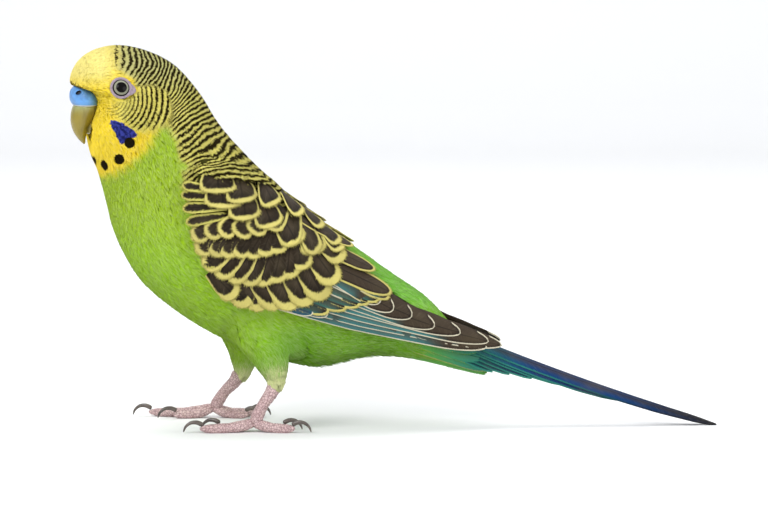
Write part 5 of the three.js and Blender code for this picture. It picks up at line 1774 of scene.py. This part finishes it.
class BUDGERIGAR_OT_eyes(bpy.types.Operator):
    """Sets the eyes in their bare rings"""

    bl_idname = "budgerigar.eyes"
    bl_label = "Eyes"

    def execute(self, context):
        for side, (here, out) in EYES.items():
            centre = here - out * EYE["sunk"]
            across, up = facing(out)

            def place(share, angle, centre=centre, across=across, up=up, out=out):
                polar = share * math.pi
                turn = np.cos(angle)[:, None] * across + np.sin(angle)[:, None] * up
                flat = np.sin(polar)[:, None] * turn
                return centre + EYE["radius"] * (np.cos(polar)[:, None] * out + flat)

            piece, share, _ = wrapped("eyeball_" + side, place, 64, 96, material("wet_eye"))
            give(piece, "ring", EYE["radius"] * np.sin(share * math.pi) + 9.0 * (share > 0.5))
            settle(piece, "eye", "eye_" + side)
            rear = math.atan2(up[0], across[0]) + 0.12
            ring = bmesh.new()
            made = bmesh.ops.create_circle(ring, segments=14, radius=EYE_RING["thick"])
            bmesh.ops.rotate(ring, verts=made["verts"], matrix=Matrix.Rotation(math.pi / 2, 3, "X"))
            bmesh.ops.translate(ring, verts=made["verts"], vec=(EYE_RING["radius"], 0, 0))
            bmesh.ops.spin(ring, geom=ring.edges[:], cent=(0, 0, 0), axis=(0, 0, 1), angle=FULL_TURN,
                           steps=72, use_merge=True)
            bmesh.ops.remove_doubles(ring, verts=ring.verts, dist=0.001)
            for vertex in ring.verts:
                x, y, z = vertex.co
                turn = math.atan2(y, x)
                wrinkle = 1 + 0.012 * math.sin(turn * 31) + 0.01 * math.sin(turn * 17 + 1)
                behind = max(0.0, math.cos(turn - rear)) ** 12 * max(0.0, math.hypot(x, y) - 2.4) * 0.85
                spot = here + (across * x + up * y) * (wrinkle + behind) + out * (z * 0.5 - 0.02)
                vertex.co = Vector(spot * MM)
            mesh = outward_mesh("eye_ring_" + side, ring)
            settle(finished("eye_ring_" + side, mesh, material("eye_ring_skin")), "cere", "head")
        return {"FINISHED"}


class BUDGERIGAR_OT_bill(bpy.types.Operator):
    """Makes the cere and both halves of the bill"""

    bl_idname = "budgerigar.bill"
    bl_label = "Cere and bill"

    def execute(self, context):
        round_cere = stacked(CERE_SECTIONS, 4, straight=True)

        def cere_place(share, angle):
            points = round_cere(share, angle)
            hollow, swollen = nostril_hollow(points)
            push = np.sign(points[:, 1]) * (swollen * 0.16 - hollow * NOSTRIL["depth"])
            points[:, 1] += push
            return turned(points, HEAD_TURN)

        cere, share, angle = wrapped("cere_skin", cere_place, 160, 120, material("cere_skin"))
        give(cere, "hollow", nostril_hollow(round_cere(share, angle))[0])
        give(cere, "rim", smooth(share, 0.76, 0.82))
        settle(cere, "cere", "cere")
        upper, share, _ = wrapped("upper_bill", stacked(BILL_SECTIONS, 14), 64, 90, material("bill_horn"))
        give(upper, "tone", smooth(share, 0.42, 0.08))
        settle(upper, "horn", "bill_upper")
        below = stacked(LOWER_BILL_SECTIONS, 6)
        lower, share, _ = wrapped("lower_bill", below, 48, 48, material("bill_horn"))
        give(lower, "tone", 0.3 * share)
        settle(lower, "horn", "bill_lower")
        return {"FINISHED"}


class BUDGERIGAR_OT_feet(bpy.types.Operator):
    """Makes the scaled shanks and toes, and the claws"""

    bl_idname = "budgerigar.feet"
    bl_label = "Feet"

    def execute(self, context):
        for side, leg in LEGS.items():
            ax, az = leg["ankle"]
            hx, hz = leg["hub"]
            y = leg["side"] * FOOT_SIDE
            halfway = ((ax + hx) / 2, y, (az + hz) / 2)
            places = [(ax + 0.4, y, az + 2.4), (ax, y, az), halfway, (hx, y, hz - 1.4)]
            shank = scaled_tube("scaled_shank_" + side, places, SHANK_RADII, SCALES["shank"])
            settle(shank, "leg_skin", "shank_" + side)
            for number, toe in TOES.items():
                ahead, line = toe_places(side, toe)
                radii = [share * toe["radius"] for share in TOE_JOINTS]
                piece = scaled_tube(f"scaled_toe_{number}_{side}", line, radii, SCALES["toe"])
                settle(piece, "leg_skin", f"toe_{number}_{side}")
                end = line[-1]
                arc = []
                for reach, z, _ in CLAW:
                    point = end + ahead * reach
                    point[2] = z
                    arc.append(point)
                sizes = [row[2] for row in CLAW]

                def place(share, angle, arc=arc, sizes=sizes):
                    lift = radius_at(sizes, share) * (rounded(share, 16) - 1)
                    return on_floor(tube_place(arc, sizes, share, angle, lift))

                claw = wrapped(f"curved_claw_{number}_{side}", place, 20, 36, material("claw_horn"))[0]
                settle(claw, "claw", f"claw_{number}_{side}")
        return {"FINISHED"}


# The floor, in metres, and its rear bent up in steps: height, place back
FLOOR_REACH = 3.0
FLOOR_BEND = 0.9
BACKDROP = ((0.02, 0.98), (0.1, 1.08), (0.25, 1.15), (0.5, 1.2), (2.5, 1.2))
# Lights: name, place in metres, breadth, power
LIGHTS = (("key", (-0.55, -0.75, 0.85), 0.7, 11.0), ("fill", (0.8, -0.6, 0.35), 0.8, 4.5),
          ("top", (0.0, 0.25, 0.95), 0.8, 6.0))
LIT_PLACE = (-0.02, 0, 0.05)
SKY = {"Color": (0.9, 0.93, 1.0), "Strength": 0.72}
CAMERA_LENS = 180.3


class BUDGERIGAR_OT_stage(bpy.types.Operator):
    """Sets the floor, the lights and the camera"""

    bl_idname = "budgerigar.stage"
    bl_label = "Stage"

    def execute(self, context):
        scene = context.scene
        finish, tree, shader = new_material("studio_floor")
        floor = tint("stage", "floor")
        surfaced(tree, shader, mix_colour(tree, floor, floor * 0.985, own_noise(tree, 3.0)), 0.85)
        behind = node(tree, "NewGeometry").outputs["Backfacing"]
        tree.links.new(maths(tree, "SUBTRACT", 1.0, behind), shader.inputs["Alpha"])
        sheet = bmesh.new()
        bmesh.ops.create_grid(sheet, x_segments=2, y_segments=2, size=FLOOR_REACH)
        rear = [v for v in sheet.verts if v.co.y > FLOOR_REACH / 2]
        for vertex in rear:
            vertex.co.y = FLOOR_BEND
        edges = [e for e in sheet.edges if all(v in rear for v in e.verts)]
        for height, back in BACKDROP:
            made = bmesh.ops.extrude_edge_only(sheet, edges=edges)["geom"]
            edges = [g for g in made if isinstance(g, bmesh.types.BMEdge)]
            for vertex in (g for g in made if isinstance(g, bmesh.types.BMVert)):
                vertex.co.y, vertex.co.z = back, height
        bmesh.ops.recalc_face_normals(sheet, faces=sheet.faces)
        if sum(face.normal.z for face in sheet.faces) < 0:
            bmesh.ops.reverse_faces(sheet, faces=sheet.faces)
        mesh = bpy.data.meshes.new("studio_floor")
        sheet.to_mesh(mesh)
        sheet.free()
        finished("studio_floor", mesh, finish)
        for name, place, size, power in LIGHTS:
            lamp = bpy.data.lights.new(name, "AREA")
            lamp.shape = "DISK"
            lamp.size = size
            lamp.energy = power
            holder = bpy.data.objects.new(name, lamp)
            holder.location = place
            toward = Vector(LIT_PLACE) - Vector(place)
            holder.rotation_euler = toward.to_track_quat("-Z", "Y").to_euler()
            scene.collection.objects.link(holder)
        world = bpy.data.worlds.new("studio")
        world.use_nodes = True
        fed(world.node_tree, world.node_tree.nodes["Background"], SKY)
        scene.world = world
        scene.view_settings.view_transform = "Standard"
        lens = bpy.data.cameras.new("camera")
        lens.lens = CAMERA_LENS
        lens.sensor_width = 36.0
        lens.clip_start = 0.01
        camera = bpy.data.objects.new("camera", lens)
        aim = Vector(CAMERA_AIM) * MM
        away = Vector((0, -math.cos(CAMERA_RISE), math.sin(CAMERA_RISE))) * CAMERA_REACH * MM
        camera.location = aim + away
        camera.rotation_euler = (-away).to_track_quat("-Z", "Y").to_euler()
        scene.collection.objects.link(camera)
        scene.camera = camera
        return {"FINISHED"}


STEPS = (BUDGERIGAR_OT_skin, BUDGERIGAR_OT_coat, BUDGERIGAR_OT_wings, BUDGERIGAR_OT_tail,
         BUDGERIGAR_OT_eyes, BUDGERIGAR_OT_bill, BUDGERIGAR_OT_feet, BUDGERIGAR_OT_stage)
GROUPS = {"plumage": PlumageSettings, "wing": WingSettings, "tail": TailSettings, "horn": HornSettings,
          "stage": StageSettings}


class BUDGERIGAR_PT_panel(bpy.types.Panel):
    bl_label = "Budgerigar"
    bl_idname = "BUDGERIGAR_PT_panel"
    bl_space_type = "VIEW_3D"
    bl_region_type = "UI"
    bl_category = "Budgerigar"

    def draw(self, context):
        for step in STEPS:
            self.layout.operator(step.bl_idname)
        for name, group in GROUPS.items():
            box = self.layout.box()
            box.label(text=name.capitalize())
            for key in group.__annotations__:
                box.prop(getattr(context.scene, "budgerigar_" + name), key)


def register():
    for kind in (*GROUPS.values(), *STEPS, BUDGERIGAR_PT_panel):
        bpy.utils.register_class(kind)
    for name, group in GROUPS.items():
        setattr(bpy.types.Scene, "budgerigar_" + name, PointerProperty(type=group))


def unregister():
    for name in GROUPS:
        delattr(bpy.types.Scene, "budgerigar_" + name)
    for kind in (BUDGERIGAR_PT_panel, *reversed(STEPS), *reversed(list(GROUPS.values()))):
        bpy.utils.unregister_class(kind)


def main():
    register()
    for step in STEPS:
        area, name = step.bl_idname.split(".")
        getattr(getattr(bpy.ops, area), name)()


if __name__ == "__main__":
    main()
